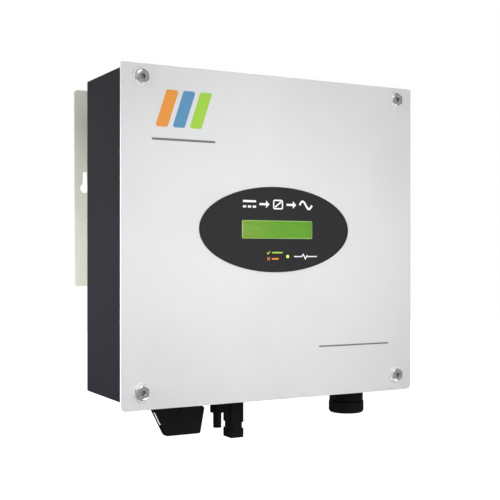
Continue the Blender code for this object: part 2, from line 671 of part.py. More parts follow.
def pv_connectors(black, brass):
    """The slender socket and the box-shaped plug that the solar strings are plugged into."""
    stub_top = INSIDE_SEAT + PV_STUB_HEIGHT
    chamfer = 0.0008
    bore_top = PV_BARREL_BOTTOM + 0.020
    socket_profile = (
        (PV_CHANNEL_RADIUS, stub_top),
        (PV_STUB_RADIUS, stub_top),
        (PV_STUB_RADIUS, UNDERSIDE),
        (PV_COLLAR_RADIUS - chamfer, UNDERSIDE),
        (PV_COLLAR_RADIUS, UNDERSIDE - chamfer),
        (PV_COLLAR_RADIUS, PV_COLLAR_BOTTOM + chamfer),
        (PV_COLLAR_RADIUS - chamfer, PV_COLLAR_BOTTOM),
        (PV_BARREL_RADIUS, PV_COLLAR_BOTTOM),
        (PV_BARREL_RADIUS, PV_BARREL_BOTTOM),
        (PV_BARREL_BORE_RADIUS, PV_BARREL_BOTTOM),
        (PV_BARREL_BORE_RADIUS, bore_top),
        (PV_CHANNEL_RADIUS, bore_top),
    )
    socket = piece("pv_socket", turned_shape(socket_profile, "Z", 24), (PV_SOCKET_X, CONNECTOR_Y, 0), black)

    plug_height = UNDERSIDE - PV_PLUG_BOTTOM
    plug_place = (PV_PLUG_X, CONNECTOR_Y, PV_PLUG_BOTTOM + plug_height / 2)
    edge = PV_PLUG_EDGE_RADIUS
    outline = rounded_outline(PV_PLUG_WIDTH, PV_PLUG_DEPTH, edge, edge, 3)
    plug = piece("pv_plug", prism_shape(outline, plug_height, "Z"), plug_place, black)
    stub_length = stub_top - UNDERSIDE + 0.004
    stub = rod_shape(PV_STUB_RADIUS, stub_length, "Z", 24)
    stub_place = (PV_PLUG_X, CONNECTOR_Y, stub_top - stub_length / 2)
    combine(plug, piece("plug_stub", stub, stub_place, black), "UNION")
    notch_height = PV_NOTCH_TOP - PV_NOTCH_BOTTOM
    notches = [
        (box_shape(2 * PV_NOTCH_DEPTH, 2 * PV_PLUG_DEPTH, notch_height), (side * PV_PLUG_WIDTH / 2, 0, 0))
        for side in (-1, 1)
    ]
    notch_place = (PV_PLUG_X, CONNECTOR_Y, (PV_NOTCH_TOP + PV_NOTCH_BOTTOM) / 2)
    combine(plug, piece("plug_notches", gathered(notches), notch_place, black), "DIFFERENCE")
    beyond = 0.005
    bore_top = PV_PLUG_BOTTOM + 0.028
    bore_profile = (
        (0, PV_PLUG_BOTTOM - beyond),
        (PV_PLUG_BORE_RADIUS, PV_PLUG_BOTTOM - beyond),
        (PV_PLUG_BORE_RADIUS, bore_top),
        (PV_CHANNEL_RADIUS, bore_top),
        (PV_CHANNEL_RADIUS, stub_top + beyond),
        (0, stub_top + beyond),
    )
    bore_tool = piece("plug_bore", turned_shape(bore_profile, "Z", 24), (PV_PLUG_X, CONNECTOR_Y, 0), black)
    combine(plug, bore_tool, "DIFFERENCE")

    made = [socket, plug]
    contact_radius = PV_CHANNEL_RADIUS - GAP
    contact_top = stub_top + 0.004
    contact_lows = {"socket": PV_BARREL_BOTTOM + 0.012, "plug": PV_PLUG_BOTTOM + 0.010}
    for name, x in (("socket", PV_SOCKET_X), ("plug", PV_PLUG_X)):
        low = contact_lows[name]
        profile = (
            (0, low),
            (0.5 * contact_radius, low),
            (contact_radius, low + 0.002),
            (contact_radius, contact_top),
            (0, contact_top),
        )
        made.append(piece(f"pv_{name}_contact", turned_shape(profile, "Z", 16), (x, CONNECTOR_Y, 0), brass))
        nut_height = 0.005
        nut = prism_shape(hexagon_outline(0.014), nut_height, "Z")
        nut_place = (x, CONNECTOR_Y, INSIDE_SEAT + nut_height / 2)
        made.append(piece(f"pv_{name}_nut", nut, nut_place, black))
        hole = rod_shape(PV_STUB_RADIUS + GAP, 3 * nut_height, "Z", 24)
        combine(made[-1], piece(f"pv_{name}_nut_hole", hole, nut_place, black), "DIFFERENCE")
    return made


def ac_pin_places():
    angles = (math.radians(90), math.radians(210), math.radians(330))
    return [(AC_X + AC_PIN_CIRCLE * math.cos(a), CONNECTOR_Y + AC_PIN_CIRCLE * math.sin(a)) for a in angles]


def ac_connector(black, grey, brass):
    """The round receptacle for the grid lead, with a locking ring that turns on its core."""
    stub_top = INSIDE_SEAT + 0.010
    core_low = AC_RING_BOTTOM + 0.0012
    profile = (
        (AC_SOCKET_RADIUS, stub_top),
        (AC_STUB_RADIUS, stub_top),
        (AC_STUB_RADIUS, UNDERSIDE),
        (AC_FLANGE_RADIUS - 0.0008, UNDERSIDE),
        (AC_FLANGE_RADIUS, UNDERSIDE - 0.0008),
        (AC_FLANGE_RADIUS, AC_FLANGE_BOTTOM),
        (AC_CORE_RADIUS, AC_FLANGE_BOTTOM),
        (AC_CORE_RADIUS, core_low),
        (AC_SOCKET_RADIUS, core_low),
    )
    axis_point = (AC_X, CONNECTOR_Y, 0)
    receptacle = piece("ac_receptacle", turned_shape(profile, "Z", 40), axis_point, black)

    ring_inner = AC_CORE_RADIUS + GAP
    chamfer = 0.0016
    ring_profile = (
        (ring_inner, AC_RING_TOP),
        (AC_RING_RADIUS - 0.0006, AC_RING_TOP),
        (AC_RING_RADIUS, AC_RING_TOP - 0.0006),
        (AC_RING_RADIUS, AC_RING_BOTTOM + chamfer),
        (AC_RING_RADIUS - chamfer, AC_RING_BOTTOM),
        (ring_inner, AC_RING_BOTTOM),
    )
    ring = piece("ac_locking_ring", turned_shape(ring_profile, "Z", 40), axis_point, black)

    insert_low = COVER_BOTTOM - 0.005
    insert_height = stub_top - 0.001 - insert_low
    insert_place = (AC_X, CONNECTOR_Y, insert_low + insert_height / 2)
    disc = rod_shape(AC_SOCKET_RADIUS - GAP, insert_height, "Z", 40)
    insert = piece("ac_insert", disc, insert_place, grey)
    pin_holes = [
        (rod_shape(AC_PIN_RADIUS + GAP, 2 * insert_height, "Z", 12), (x, y, insert_place[2]))
        for x, y in ac_pin_places()
    ]
    combine(insert, piece("insert_holes", gathered(pin_holes), (0, 0, 0), grey), "DIFFERENCE")

    pin_low = core_low + 0.006
    pin_high = stub_top + 0.003
    pin_profile = (
        (0, pin_low),
        (0.5 * AC_PIN_RADIUS, pin_low),
        (AC_PIN_RADIUS, pin_low + 0.0012),
        (AC_PIN_RADIUS, pin_high),
        (0, pin_high),
    )
    made = [receptacle, insert]
    for name, (x, y) in zip(("earth", "line", "neutral"), ac_pin_places()):
        made.append(piece(f"ac_pin_{name}", turned_shape(pin_profile, "Z", 12), (x, y, 0), brass))
    nut_height = 0.005
    nut = tube_shape(0.0185, AC_STUB_RADIUS + GAP, nut_height, "Z", 24)
    made.append(piece("ac_nut", nut, (AC_X, CONNECTOR_Y, INSIDE_SEAT + nut_height / 2), black))
    return made, ring


def communication_port(paint, tin, steel):
    """A connector in the floor, under a plate held by two screws."""
    connector = block(
        "comm_connector",
        (COMM_X - 0.0155, CONNECTOR_Y - 0.0065, INSIDE_SEAT),
        (COMM_X + 0.0155, CONNECTOR_Y + 0.0065, INSIDE_SEAT + 0.012),
        tin,
    )
    plate_face = UNDERSIDE - COMM_PLATE_THICKNESS
    plate_place = (COMM_X, CONNECTOR_Y, (UNDERSIDE + plate_face) / 2)
    outline = rounded_outline(COMM_PLATE_WIDTH, COMM_PLATE_DEPTH, COMM_PLATE_RADIUS, COMM_PLATE_RADIUS, 3)
    plate = piece("comm_cover", prism_shape(outline, COMM_PLATE_THICKNESS, "Z"), plate_place, paint)
    made = [connector, plate]
    seat = plate_face + COMM_RECESS_DEPTH
    head_top = seat - GAP
    head_low = head_top - COMM_HEAD_HEIGHT
    shank_top = FLOOR_INSIDE + 0.003
    screw_profile = (
        (0, head_low),
        (COMM_HEAD_RADIUS - 0.001, head_low),
        (COMM_HEAD_RADIUS, head_low + 0.0006),
        (COMM_HEAD_RADIUS, head_top),
        (COMM_SHANK_RADIUS, head_top),
        (COMM_SHANK_RADIUS, shank_top),
        (0, shank_top),
    )
    recess_radius = COMM_HEAD_RADIUS + 2 * GAP
    hole_profile = (
        (0, plate_face - COMM_PLATE_THICKNESS),
        (recess_radius, plate_face - COMM_PLATE_THICKNESS),
        (recess_radius, seat),
        (COMM_HOLE_RADIUS, seat),
        (COMM_HOLE_RADIUS, UNDERSIDE + COMM_PLATE_THICKNESS),
        (0, UNDERSIDE + COMM_PLATE_THICKNESS),
    )
    holes = []
    for name, side in (("left", -1), ("right", 1)):
        place = (COMM_X + side * COMM_SCREW_OFFSET, CONNECTOR_Y, 0)
        holes.append((turned_shape(hole_profile, "Z", 16), place))
        made.append(piece(f"comm_screw_{name}", turned_shape(screw_profile, "Z", 12), place, steel))
    combine(plate, piece("comm_cover_holes", gathered(holes), (0, 0, 0), paint), "DIFFERENCE")
    return made


def earth_terminal(steel):
    stud_profile = (
        (0, UNDERSIDE - 0.0072),
        (0.0020, UNDERSIDE - 0.0072),
        (0.0025, UNDERSIDE - 0.0066),
        (0.0025, INSIDE_SEAT),
        (0.0050, INSIDE_SEAT),
        (0.0050, INSIDE_SEAT + 0.0030),
        (0, INSIDE_SEAT + 0.0030),
    )
    stud = piece("earth_stud", turned_shape(stud_profile, "Z", 16), (EARTH_X, CONNECTOR_Y, 0), steel)
    nut_height = 0.0040
    nut_place = (EARTH_X, CONNECTOR_Y, UNDERSIDE - nut_height / 2)
    nut = piece("earth_nut", prism_shape(hexagon_outline(0.008), nut_height, "Z"), nut_place, steel)
    hole = rod_shape(0.0025 + GAP, 3 * nut_height, "Z", 16)
    combine(nut, piece("earth_nut_hole", hole, nut_place, steel), "DIFFERENCE")
    return [stud, nut]


def heatsink(aluminium):
    """A base with upright fins: one comb-shaped outline, pushed out along Z."""
    front = BODY_BACK + GAP
    root = front + SINK_BASE
    pitch = (SINK_WIDTH - SINK_FIN_THICKNESS) / (SINK_FINS - 1)
    outline = [(SINK_WIDTH / 2, front), (-SINK_WIDTH / 2, front)]
    for i in range(SINK_FINS):
        left = -SINK_WIDTH / 2 + i * pitch
        right = left + SINK_FIN_THICKNESS
        if i > 0:
            outline.append((left, root))
        outline += [(left, SINK_FIN_TIPS), (right, SINK_FIN_TIPS)]
        if i < SINK_FINS - 1:
            outline.append((right, root))
    comb = prism_shape(outline, SINK_HIGH_Z - SINK_LOW_Z, "Z")
    return piece("heatsink", comb, (0, 0, (SINK_LOW_Z + SINK_HIGH_Z) / 2), aluminium)


def hanger_rail(zinc):
    """An upside-down channel on the box's back, whose lip drops behind the bracket's hooks."""
    front = BODY_BACK + GAP
    outline = [
        (front, RAIL_LOW_Z),
        (front, RAIL_TOP),
        (RAIL_LIP_BACK, RAIL_TOP),
        (RAIL_LIP_BACK, RAIL_LIP_LOW_Z),
        (RAIL_LIP_BACK - RAIL_SHEET, RAIL_LIP_LOW_Z),
        (RAIL_LIP_BACK - RAIL_SHEET, RAIL_TOP - RAIL_SHEET),
        (front + RAIL_SHEET, RAIL_TOP - RAIL_SHEET),
        (front + RAIL_SHEET, RAIL_LOW_Z),
    ]
    return piece("hanger_rail", prism_shape(outline, RAIL_WIDTH, "X"), (0, 0, 0), zinc)


def rest_pads(rubber):
    """Two pads between the fins' tips and the bracket, which keep the box upright."""
    low_y = SINK_FIN_TIPS + GAP
    high_y = -BRACKET_SHEET - GAP
    return [
        block(f"rest_pad_{name}", (x - 0.015, low_y, -0.095), (x + 0.015, high_y, -0.060), rubber)
        for name, x in (("left", -0.100), ("right", 0.100))
    ]


def electronics(board_green, film, black, sleeve, copper, relay_blue, silicon):
    """What is on the main board, and the sheet and module behind it."""
    board = block(
        "main_board",
        (-MAIN_BOARD_HALF_WIDTH, MAIN_BOARD_FRONT, MAIN_BOARD_LOW_Z),
        (MAIN_BOARD_HALF_WIDTH, MAIN_BOARD_BACK, MAIN_BOARD_HIGH_Z),
        board_green,
    )
    sheet_back = BACK_INSIDE - GAP
    sheet_low = (-0.120, sheet_back - 0.0008, -0.145)
    sheet = block("insulation_sheet", sheet_low, (0.120, sheet_back, -0.010), film)
    module_low = (-0.045, sheet_back - 0.0085, 0.005)
    module = block("power_module", module_low, (0.045, sheet_back, 0.045), silicon)
    made = [board, sheet, module]

    can_radius, can_length = 0.0175, 0.046
    for i in range(3):
        profile = (
            (0, ON_BOARD),
            (can_radius, ON_BOARD),
            (can_radius, ON_BOARD - can_length + 0.0015),
            (can_radius - 0.0015, ON_BOARD - can_length),
            (0, ON_BOARD - can_length),
        )
        place = (-0.045 + 0.042 * i, 0, 0.050)
        made.append(piece(f"dc_link_capacitor_{i + 1}", turned_shape(profile, "Y", 24), place, sleeve))

    inductor = block("boost_inductor", (-0.128, ON_BOARD - 0.042, 0.005), (-0.076, ON_BOARD, 0.068), copper)
    soften(inductor, 0.003)
    relay = block("output_relay", (0.080, ON_BOARD - 0.026, -0.085), (0.128, ON_BOARD, -0.052), relay_blue)
    soften(relay, 0.001, 1)
    choke_outer, choke_inner, choke_depth = 0.025, 0.011, 0.022
    bevel = 0.004
    choke_profile = (
        (choke_inner, 0),
        (choke_outer - bevel, 0),
        (choke_outer, -bevel),
        (choke_outer, bevel - choke_depth),
        (choke_outer - bevel, -choke_depth),
        (choke_inner, -choke_depth),
    )
    choke = piece("output_choke", turned_shape(choke_profile, "Y", 24), (0.104, ON_BOARD, 0.000), copper)
    made += [inductor, relay, choke]

    card_low = (-0.060, ON_BOARD - 0.040, -0.0416)
    card = block("control_board", card_low, (0.060, ON_BOARD, -0.0400), board_green)
    made.append(card)
    return made


def wiring(red, black, grey):
    """Leads from the receptacles to the switch, and from there and an AC pin to the main board."""
    thin = 0.0020
    up = Vector((0, 0, 0.020))
    left = Vector((-0.020, 0, 0))
    to_front = Vector((0, -0.025, 0))
    contact_top = INSIDE_SEAT + 0.016 + GAP
    switch_side = SWITCH_X + SWITCH_BODY_WIDTH / 2 + GAP
    switch_top = INSIDE_SEAT + 0.046 + GAP
    made = []
    routes = (("negative", PV_SOCKET_X, -0.008, 0.030, black), ("positive", PV_PLUG_X, 0.008, 0.038, red))
    for name, x, entry_y, entry_height, colour in routes:
        start = (x, CONNECTOR_Y, contact_top)
        end = (switch_side, CONNECTOR_Y + entry_y, INSIDE_SEAT + entry_height)
        made.append(lead_between(f"pv_lead_{name}", start, up, end, -left, thin, colour))
    start = (SWITCH_X, CONNECTOR_Y - 0.008, switch_top)
    end = (SWITCH_X, ON_BOARD, switch_top + 0.030)
    made.append(lead_between("dc_lead", start, up, end, to_front, 1.5 * thin, black))
    x, y = ac_pin_places()[0]
    start = (x, y, INSIDE_SEAT + 0.013 + GAP)
    end = (AC_X, ON_BOARD, -0.130)
    made.append(lead_between("ac_lead", start, up, end, to_front, thin, grey))
    return made


def ribbon_cable(grey):
    """A flat cable from the display board back to the control board."""
    thickness = 0.0008
    high = DISPLAY_BOARD_LOW_Z + 0.006
    start = LCD_BACK + BOARD_THICKNESS + 2 * GAP
    card_front = ON_BOARD - 0.040
    rise = -0.0416 - GAP
    outline = [
        (start, high),
        (start + 0.004, high),
        (card_front + 0.004, rise - 0.010),
        (card_front + 0.004, rise),
        (card_front + 0.004 + thickness, rise),
        (card_front + 0.004 + thickness, rise - 0.0105),
        (start + 0.004, high - thickness),
        (start, high - thickness),
    ]
    return piece("ribbon_cable", prism_shape(outline, 0.026, "X"), (0, 0, 0), grey)


def main():
    for obj in list(bpy.data.objects):
        bpy.data.objects.remove(obj, do_unlink=True)

    light_paint = finish("light_grey_paint", (0.72, 0.72, 0.73), 0.35, 0.2)
    dark_paint = finish("dark_grey_paint", (0.050, 0.050, 0.055), 0.55)
    zinc = finish("zinc_plate", (0.62, 0.63, 0.55), 0.40, 0.8)
    aluminium = finish("extruded_aluminium", (0.60, 0.60, 0.61), 0.45, 0.9)
    steel = finish("bright_steel", (0.75, 0.75, 0.76), 0.18, 1.0)
    tin = finish("tinned_steel", (0.55, 0.55, 0.56), 0.35, 0.9)
    brass = finish("brass", (0.75, 0.58, 0.25), 0.30, 1.0)
    copper = finish("copper_winding", (0.60, 0.27, 0.12), 0.40, 0.8)
    rubber = finish("black_rubber", (0.02, 0.02, 0.02), 0.80)
    black = finish("black_plastic", (0.015, 0.015, 0.014), 0.40)
    grey = finish("grey_plastic", (0.20, 0.20, 0.20), 0.50)
    overlay_black = finish("overlay_foil", (0.040, 0.040, 0.043), 0.35)
    clear = finish("clear_window", (0.90, 0.95, 0.90), 0.05, 0.0, 0.25)
    backlit = finish("lcd_green", (0.16, 0.40, 0.05), 0.30)
    lamp_lens = finish("lamp_lens", (0.45, 0.75, 0.10), 0.20)
    board_green = finish("board_green", (0.03, 0.18, 0.07), 0.50)
    film = finish("insulating_film", (0.70, 0.65, 0.45), 0.50)
    sleeve = finish("capacitor_sleeve", (0.03, 0.04, 0.09), 0.35)
    relay_blue = finish("relay_case", (0.05, 0.12, 0.35), 0.40)
    silicon = finish("module_case", (0.10, 0.10, 0.10), 0.45)
    red = finish("red_insulation", (0.45, 0.02, 0.02), 0.45)
    cable_grey = finish("grey_insulation", (0.35, 0.35, 0.36), 0.50)

    wall_bracket(zinc)
    fixed = [enclosure(dark_paint), cover_gasket(rubber), front_cover(light_paint)]
    fixed += cover_fasteners(steel)
    fixed += display(overlay_black, clear, lamp_lens, backlit, tin, board_green)
    escutcheon, handle, shaft, switch_body = dc_isolator(black, grey, steel)
    fixed += [escutcheon, switch_body]
    fixed += pv_connectors(black, brass)
    ac_fixed, ring = ac_connector(black, grey, brass)
    fixed += ac_fixed
    fixed += communication_port(dark_paint, tin, steel)
    fixed += earth_terminal(steel)
    fixed += [heatsink(aluminium), hanger_rail(zinc)]
    fixed += rest_pads(rubber)
    fixed += electronics(board_green, film, black, sleeve, copper, relay_blue, silicon)
    fixed += wiring(red, black, cable_grey)
    fixed.append(ribbon_cable(cable_grey))

    lift = carry("inverter_lift", (0, RAIL_LIP_BACK, RAIL_TOP), fixed)
    turning = carry("switch_axis", (SWITCH_X, CONNECTOR_Y, HANDLE_TOP), [handle, shaft])
    locking = carry("ring_axis", (AC_X, CONNECTOR_Y, AC_RING_TOP), [ring])
    for axis in (turning, locking):
        axis.parent = lift
        axis.location = axis.location - lift.location


main()
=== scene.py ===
"""The looks of a string inverter on its wall bracket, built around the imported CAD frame.

Metres, in the CAD model's frame: the wall is the plane Y = 0, the front plate faces -Y, +X is to the
right and +Z is up. Every mesh is made in that frame with its object at the origin, so the object
coordinates that the materials read are places on the inverter.
"""

import json
import math

import bmesh
import bpy
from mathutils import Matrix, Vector


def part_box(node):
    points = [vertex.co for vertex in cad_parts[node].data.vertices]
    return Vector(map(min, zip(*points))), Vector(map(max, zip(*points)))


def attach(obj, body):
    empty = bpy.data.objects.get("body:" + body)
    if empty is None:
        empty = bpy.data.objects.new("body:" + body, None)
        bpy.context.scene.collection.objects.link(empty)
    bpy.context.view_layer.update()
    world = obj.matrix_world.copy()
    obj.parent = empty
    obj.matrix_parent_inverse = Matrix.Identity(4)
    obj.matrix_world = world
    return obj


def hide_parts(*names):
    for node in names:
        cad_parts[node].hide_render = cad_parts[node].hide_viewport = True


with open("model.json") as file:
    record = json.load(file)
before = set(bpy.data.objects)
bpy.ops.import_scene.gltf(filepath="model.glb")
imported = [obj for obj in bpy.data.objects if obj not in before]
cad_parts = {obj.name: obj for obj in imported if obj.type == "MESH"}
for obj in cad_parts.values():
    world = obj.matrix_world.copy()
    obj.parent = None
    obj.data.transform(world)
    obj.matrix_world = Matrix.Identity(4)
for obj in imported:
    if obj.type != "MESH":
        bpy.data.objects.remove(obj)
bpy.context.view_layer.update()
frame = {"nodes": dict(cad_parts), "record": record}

# The camera, from the front plate's centre
CAMERA_LEFT = 0.5064
CAMERA_BEFORE_PLATE = 0.8721
CAMERA_BELOW = 0.0162
CAMERA_TURN = math.radians(28.56)
CAMERA_LENS = 71.06
CAMERA_SHIFT = 0.0077

# How brightly the white room lights the inverter
ROOM_LIGHT = 0.30

# Sheet metal
SHEET = 0.002
PLATE_EDGE = 0.0005
PLATE_TOP_RADIUS = 0.0015
PLATE_BOTTOM_RADIUS = 0.006
BOX_EDGE_RADIUS = 0.0015
MOUTH_INSET = 0.0154
MOUTH_RADIUS = 0.003
SEAM_WIDTH = 0.0004
SCREW_HOLE_RADIUS = 0.0036
LAMP_HOLE_RADIUS = 0.0028

# The space between pieces that fit into each other
GAP = 0.0003

# How far the fins' top stays below the bracket's hooks when the inverter is lifted all the way
LIFT_ROOM = 0.0004

# Prints: raised by the thickness of the ink
INK = 0.00005
INK_SINK = 0.0001

MATERIALS = {}

AXES = {
    "X": (Vector((0, 1, 0)), Vector((0, 0, 1)), Vector((1, 0, 0))),
    "Y": (Vector((1, 0, 0)), Vector((0, 0, 1)), Vector((0, 1, 0))),
    "Z": (Vector((1, 0, 0)), Vector((0, 1, 0)), Vector((0, 0, 1))),
}


# Outlines


def arc(centre, radius, start, end, steps):
    """Points on an arc, in degrees."""
    angles = [math.radians(start + (end - start) * k / steps) for k in range(steps + 1)]
    return [(centre[0] + radius * math.cos(a), centre[1] + radius * math.sin(a)) for a in angles]


def circle(centre, radius, steps=48):
    return arc(centre, radius, 0, 360, steps)[:-1]


def filleted(points, radius, steps=5, closed=True):
    """Points with rounded corners; the radius is one size, or one for each corner."""
    radii = radius if isinstance(radius, (list, tuple)) else [radius] * len(points)
    made = []
    for i, point in enumerate(points):
        if not closed and i in (0, len(points) - 1):
            made.append(tuple(point))
            continue
        corner = Vector(point)
        before = Vector(points[i - 1]) - corner
        after = Vector(points[(i + 1) % len(points)]) - corner
        half = before.angle(after) / 2
        reach = min(radii[i] / math.tan(half), 0.49 * before.length, 0.49 * after.length)
        size = reach * math.tan(half)
        if size < 1e-6:
            made.append(tuple(corner))
            continue
        start = corner + before.normalized() * reach
        end = corner + after.normalized() * reach
        centre = corner + (before.normalized() + after.normalized()).normalized() * (size / math.sin(half))
        for k in range(steps + 1):
            way = (start - centre).slerp(end - centre, k / steps).normalized()
            made.append(tuple(centre + way * size))
    return made


def rounded_box(low, high, radius, steps=5):
    """A rectangle with round corners, from its lowest corner round to its upper left one."""
    corners = [(low[0], low[1]), (high[0], low[1]), (high[0], high[1]), (low[0], high[1])]
    return filleted(corners, radius, steps)


def box_outline(low, high, axis, radius, steps=5, grow=0.0):
    """The rounded outline of a CAD box, seen along an axis and grown on every side."""
    u, v = (k for k in range(3) if k != "XYZ".index(axis))
    return rounded_box((low[u] - grow, low[v] - grow), (high[u] + grow, high[v] + grow), radius, steps)


def box_about(centre, half_width, half_height, radius, steps=5):
    u, v = centre[:2]
    low, high = (u - half_width, v - half_height), (u + half_width, v + half_height)
    return rounded_box(low, high, radius, steps)


def moved_in(outline, distance):
    """A closed outline moved inwards everywhere by a distance, or outwards by a negative one."""
    count = len(outline)
    twice_area = sum(
        outline[i - 1][0] * outline[i][1] - outline[i][0] * outline[i - 1][1] for i in range(count)
    )
    way = 1 if twice_area > 0 else -1
    made = []
    for i in range(count):
        here = Vector(outline[i])
        ahead = (Vector(outline[(i + 1) % count]) - here).normalized()
        behind = (here - Vector(outline[i - 1])).normalized()
        normal = Vector((-ahead.y - behind.y, ahead.x + behind.x)).normalized() * way
        turn = max(0.3, normal.dot(Vector((-ahead.y, ahead.x))) * way)
        made.append(tuple(here + normal * (distance / turn)))
    return made


def stroke(points, width):
    """The outline of a line of some width along points, with square ends."""
    sides = ([], [])
    for i, point in enumerate(points):
        here = Vector(point)
        ahead = Vector(points[min(i + 1, len(points) - 1)]) - here
        behind = here - Vector(points[max(i - 1, 0)])
        along = (ahead.normalized() + behind.normalized()).normalized()
        normal = Vector((-along.y, along.x))
        reach = width / 2 / max(0.4, normal.dot(Vector((-behind.y, behind.x)).normalized()) if i else 1)
        sides[0].append(tuple(here + normal * reach))
        sides[1].append(tuple(here - normal * reach))
    return sides[1] + sides[0][::-1]


# Shapes


def ring_of(outline, axis, along):
    across, up, forward = AXES[axis]
    return [across * u + up * v + forward * along for u, v in outline]


def join(shape, first, second):
    for i in range(len(first)):
        shape.faces.new((first[i - 1], first[i], second[i], second[i - 1]))


def lofted(rings, closed=False):
    """Rings of equally many points joined one to the next; the end ones are capped, or joined if closed."""
    shape = bmesh.new()
    made = [[shape.verts.new(point) for point in ring] for ring in rings]
    if not closed:
        shape.faces.new(made[0])
        shape.faces.new(made[-1])
    for first, second in zip(made, made[1:]):
        join(shape, first, second)
    if closed:
        join(shape, made[-1], made[0])
    return shape


def rim(edge, steps):
    """Steps round a rim: how far in from the side, and how far from the end."""
    angles = [math.pi / 2 * k / steps for k in range(steps + 1)]
    return [(edge * (1 - math.sin(a)), edge * (1 - math.cos(a))) for a in angles]


def levels_between(start, end, edge, steps):
    """(inset, place) pairs from one end to the other, round both rims."""
    way = 1 if end > start else -1
    first = [(inset, start + way * depth) for inset, depth in rim(edge, steps)]
    last = [(inset, end - way * depth) for inset, depth in reversed(rim(edge, steps))]
    return first + last


def prism(outline, start, end, axis, edge=0.0003, steps=3):
    """An outline pushed from one place to another along an axis, with round rims."""
    if not edge:
        return lofted([ring_of(outline, axis, start), ring_of(outline, axis, end)])
    levels = levels_between(start, end, edge, steps)
    return lofted([ring_of(moved_in(outline, inset), axis, along) for inset, along in levels])


def sheet(outline, holes, start, end, axis, edge=0.0003, steps=2):
    """A flat piece with holes through it, between two places along an axis, with every rim rounded."""
    shape = bmesh.new()
    end_edges = ([], [])
    for loop, way in [(outline, 1)] + [(hole, -1) for hole in holes]:
        levels = levels_between(start, end, edge, steps)
        rings = [ring_of(moved_in(loop, way * inset), axis, along) for inset, along in levels]
        made = [[shape.verts.new(point) for point in ring] for ring in rings]
        for first, second in zip(made, made[1:]):
            join(shape, first, second)
        for ring, edges in ((made[0], end_edges[0]), (made[-1], end_edges[1])):
            edges += [shape.edges.get((ring[i - 1], ring[i])) for i in range(len(ring))]
    for edges, normal in zip(end_edges, (-AXES[axis][2], AXES[axis][2])):
        bmesh.ops.triangle_fill(shape, edges=edges, use_beauty=True, use_dissolve=False, normal=normal)
    return shape


def turned(profile, axis, place, steps=64, closed=False, radius_at=None):
    """(radius, along) points turned about an axis through a place; radius_at may reshape each radius."""
    across, up, forward = AXES[axis]
    centre = Vector(place)
    centre -= forward * centre.dot(forward)
    rings = []
    for radius, along in profile:
        ring = []
        for k in range(steps):
            angle = math.tau * k / steps
            reach = radius_at(radius, along, angle) if radius_at else radius
            point = centre + across * (reach * math.cos(angle)) + up * (reach * math.sin(angle))
            ring.append(point + forward * along)
        rings.append(ring)
    return lofted(rings, closed)


def together(*shapes):
    """Several shapes in one mesh."""
    whole = bmesh.new()
    for shape in shapes:
        mesh = bpy.data.meshes.new("part")
        shape.to_mesh(mesh)
        shape.free()
        whole.from_mesh(mesh)
        bpy.data.meshes.remove(mesh)
    return whole


def ripple(count, depth, beyond):
    """Radii beyond a size pulled in by ribs round an axis."""

    def radius_at(radius, along, angle):
        if radius < beyond:
            return radius
        wave = 0.5 - 0.5 * math.cos(count * angle)
        return radius - depth * wave ** 3

    return radius_at


def hexagon(across_flats, beyond):
    """Radii beyond a size kept inside a hexagon with a corner at the top."""

    def radius_at(radius, along, angle):
        if radius < beyond:
            return radius
        turn = (angle + math.pi / 6) % (math.pi / 3) - math.pi / 6
        return min(radius, across_flats / 2 / math.cos(turn))

    return radius_at


def mesh_of(name, shape):
    bmesh.ops.recalc_face_normals(shape, faces=shape.faces)
    mesh = bpy.data.meshes.new(name)
    shape.to_mesh(mesh)
    shape.free()
    return mesh


def placed(name, data):
    """A new object in the scene."""
    obj = bpy.data.objects.new(name, data)
    bpy.context.scene.collection.objects.link(obj)
    return obj


def cut(shape, *tools):
    """The shape with the tools cut out of it."""
    target = placed("target", mesh_of("target", shape))
    cutters = [placed("cutter", mesh_of("cutter", tool)) for tool in tools]
    for cutter in cutters:
        change = target.modifiers.new("cut", "BOOLEAN")
        change.object = cutter
        change.solver = "EXACT"
    evaluated = target.evaluated_get(bpy.context.evaluated_depsgraph_get())
    left = bmesh.new()
    left.from_mesh(evaluated.to_mesh())
    evaluated.to_mesh_clear()
    for obj in [target] + cutters:
        mesh = obj.data
        bpy.data.objects.remove(obj)
        bpy.data.meshes.remove(mesh)
    return left


def piece(name, shape, body, finish, *nodes):
    """A visible piece: smooth where it is round, riding on a body, and standing for CAD nodes."""
    mesh = mesh_of(name, shape)
    mesh.materials.append(MATERIALS[finish])
    mesh.shade_smooth()
    mesh.set_sharp_from_angle(angle=math.radians(38))
    obj = placed(name, mesh)
    normals = obj.modifiers.new("normals", "WEIGHTED_NORMAL")
    normals.keep_sharp = True
    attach(obj, body)
    if nodes:
        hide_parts(*nodes)


def middle(node):
    low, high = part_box(node)
    return (low + high) / 2


# Materials


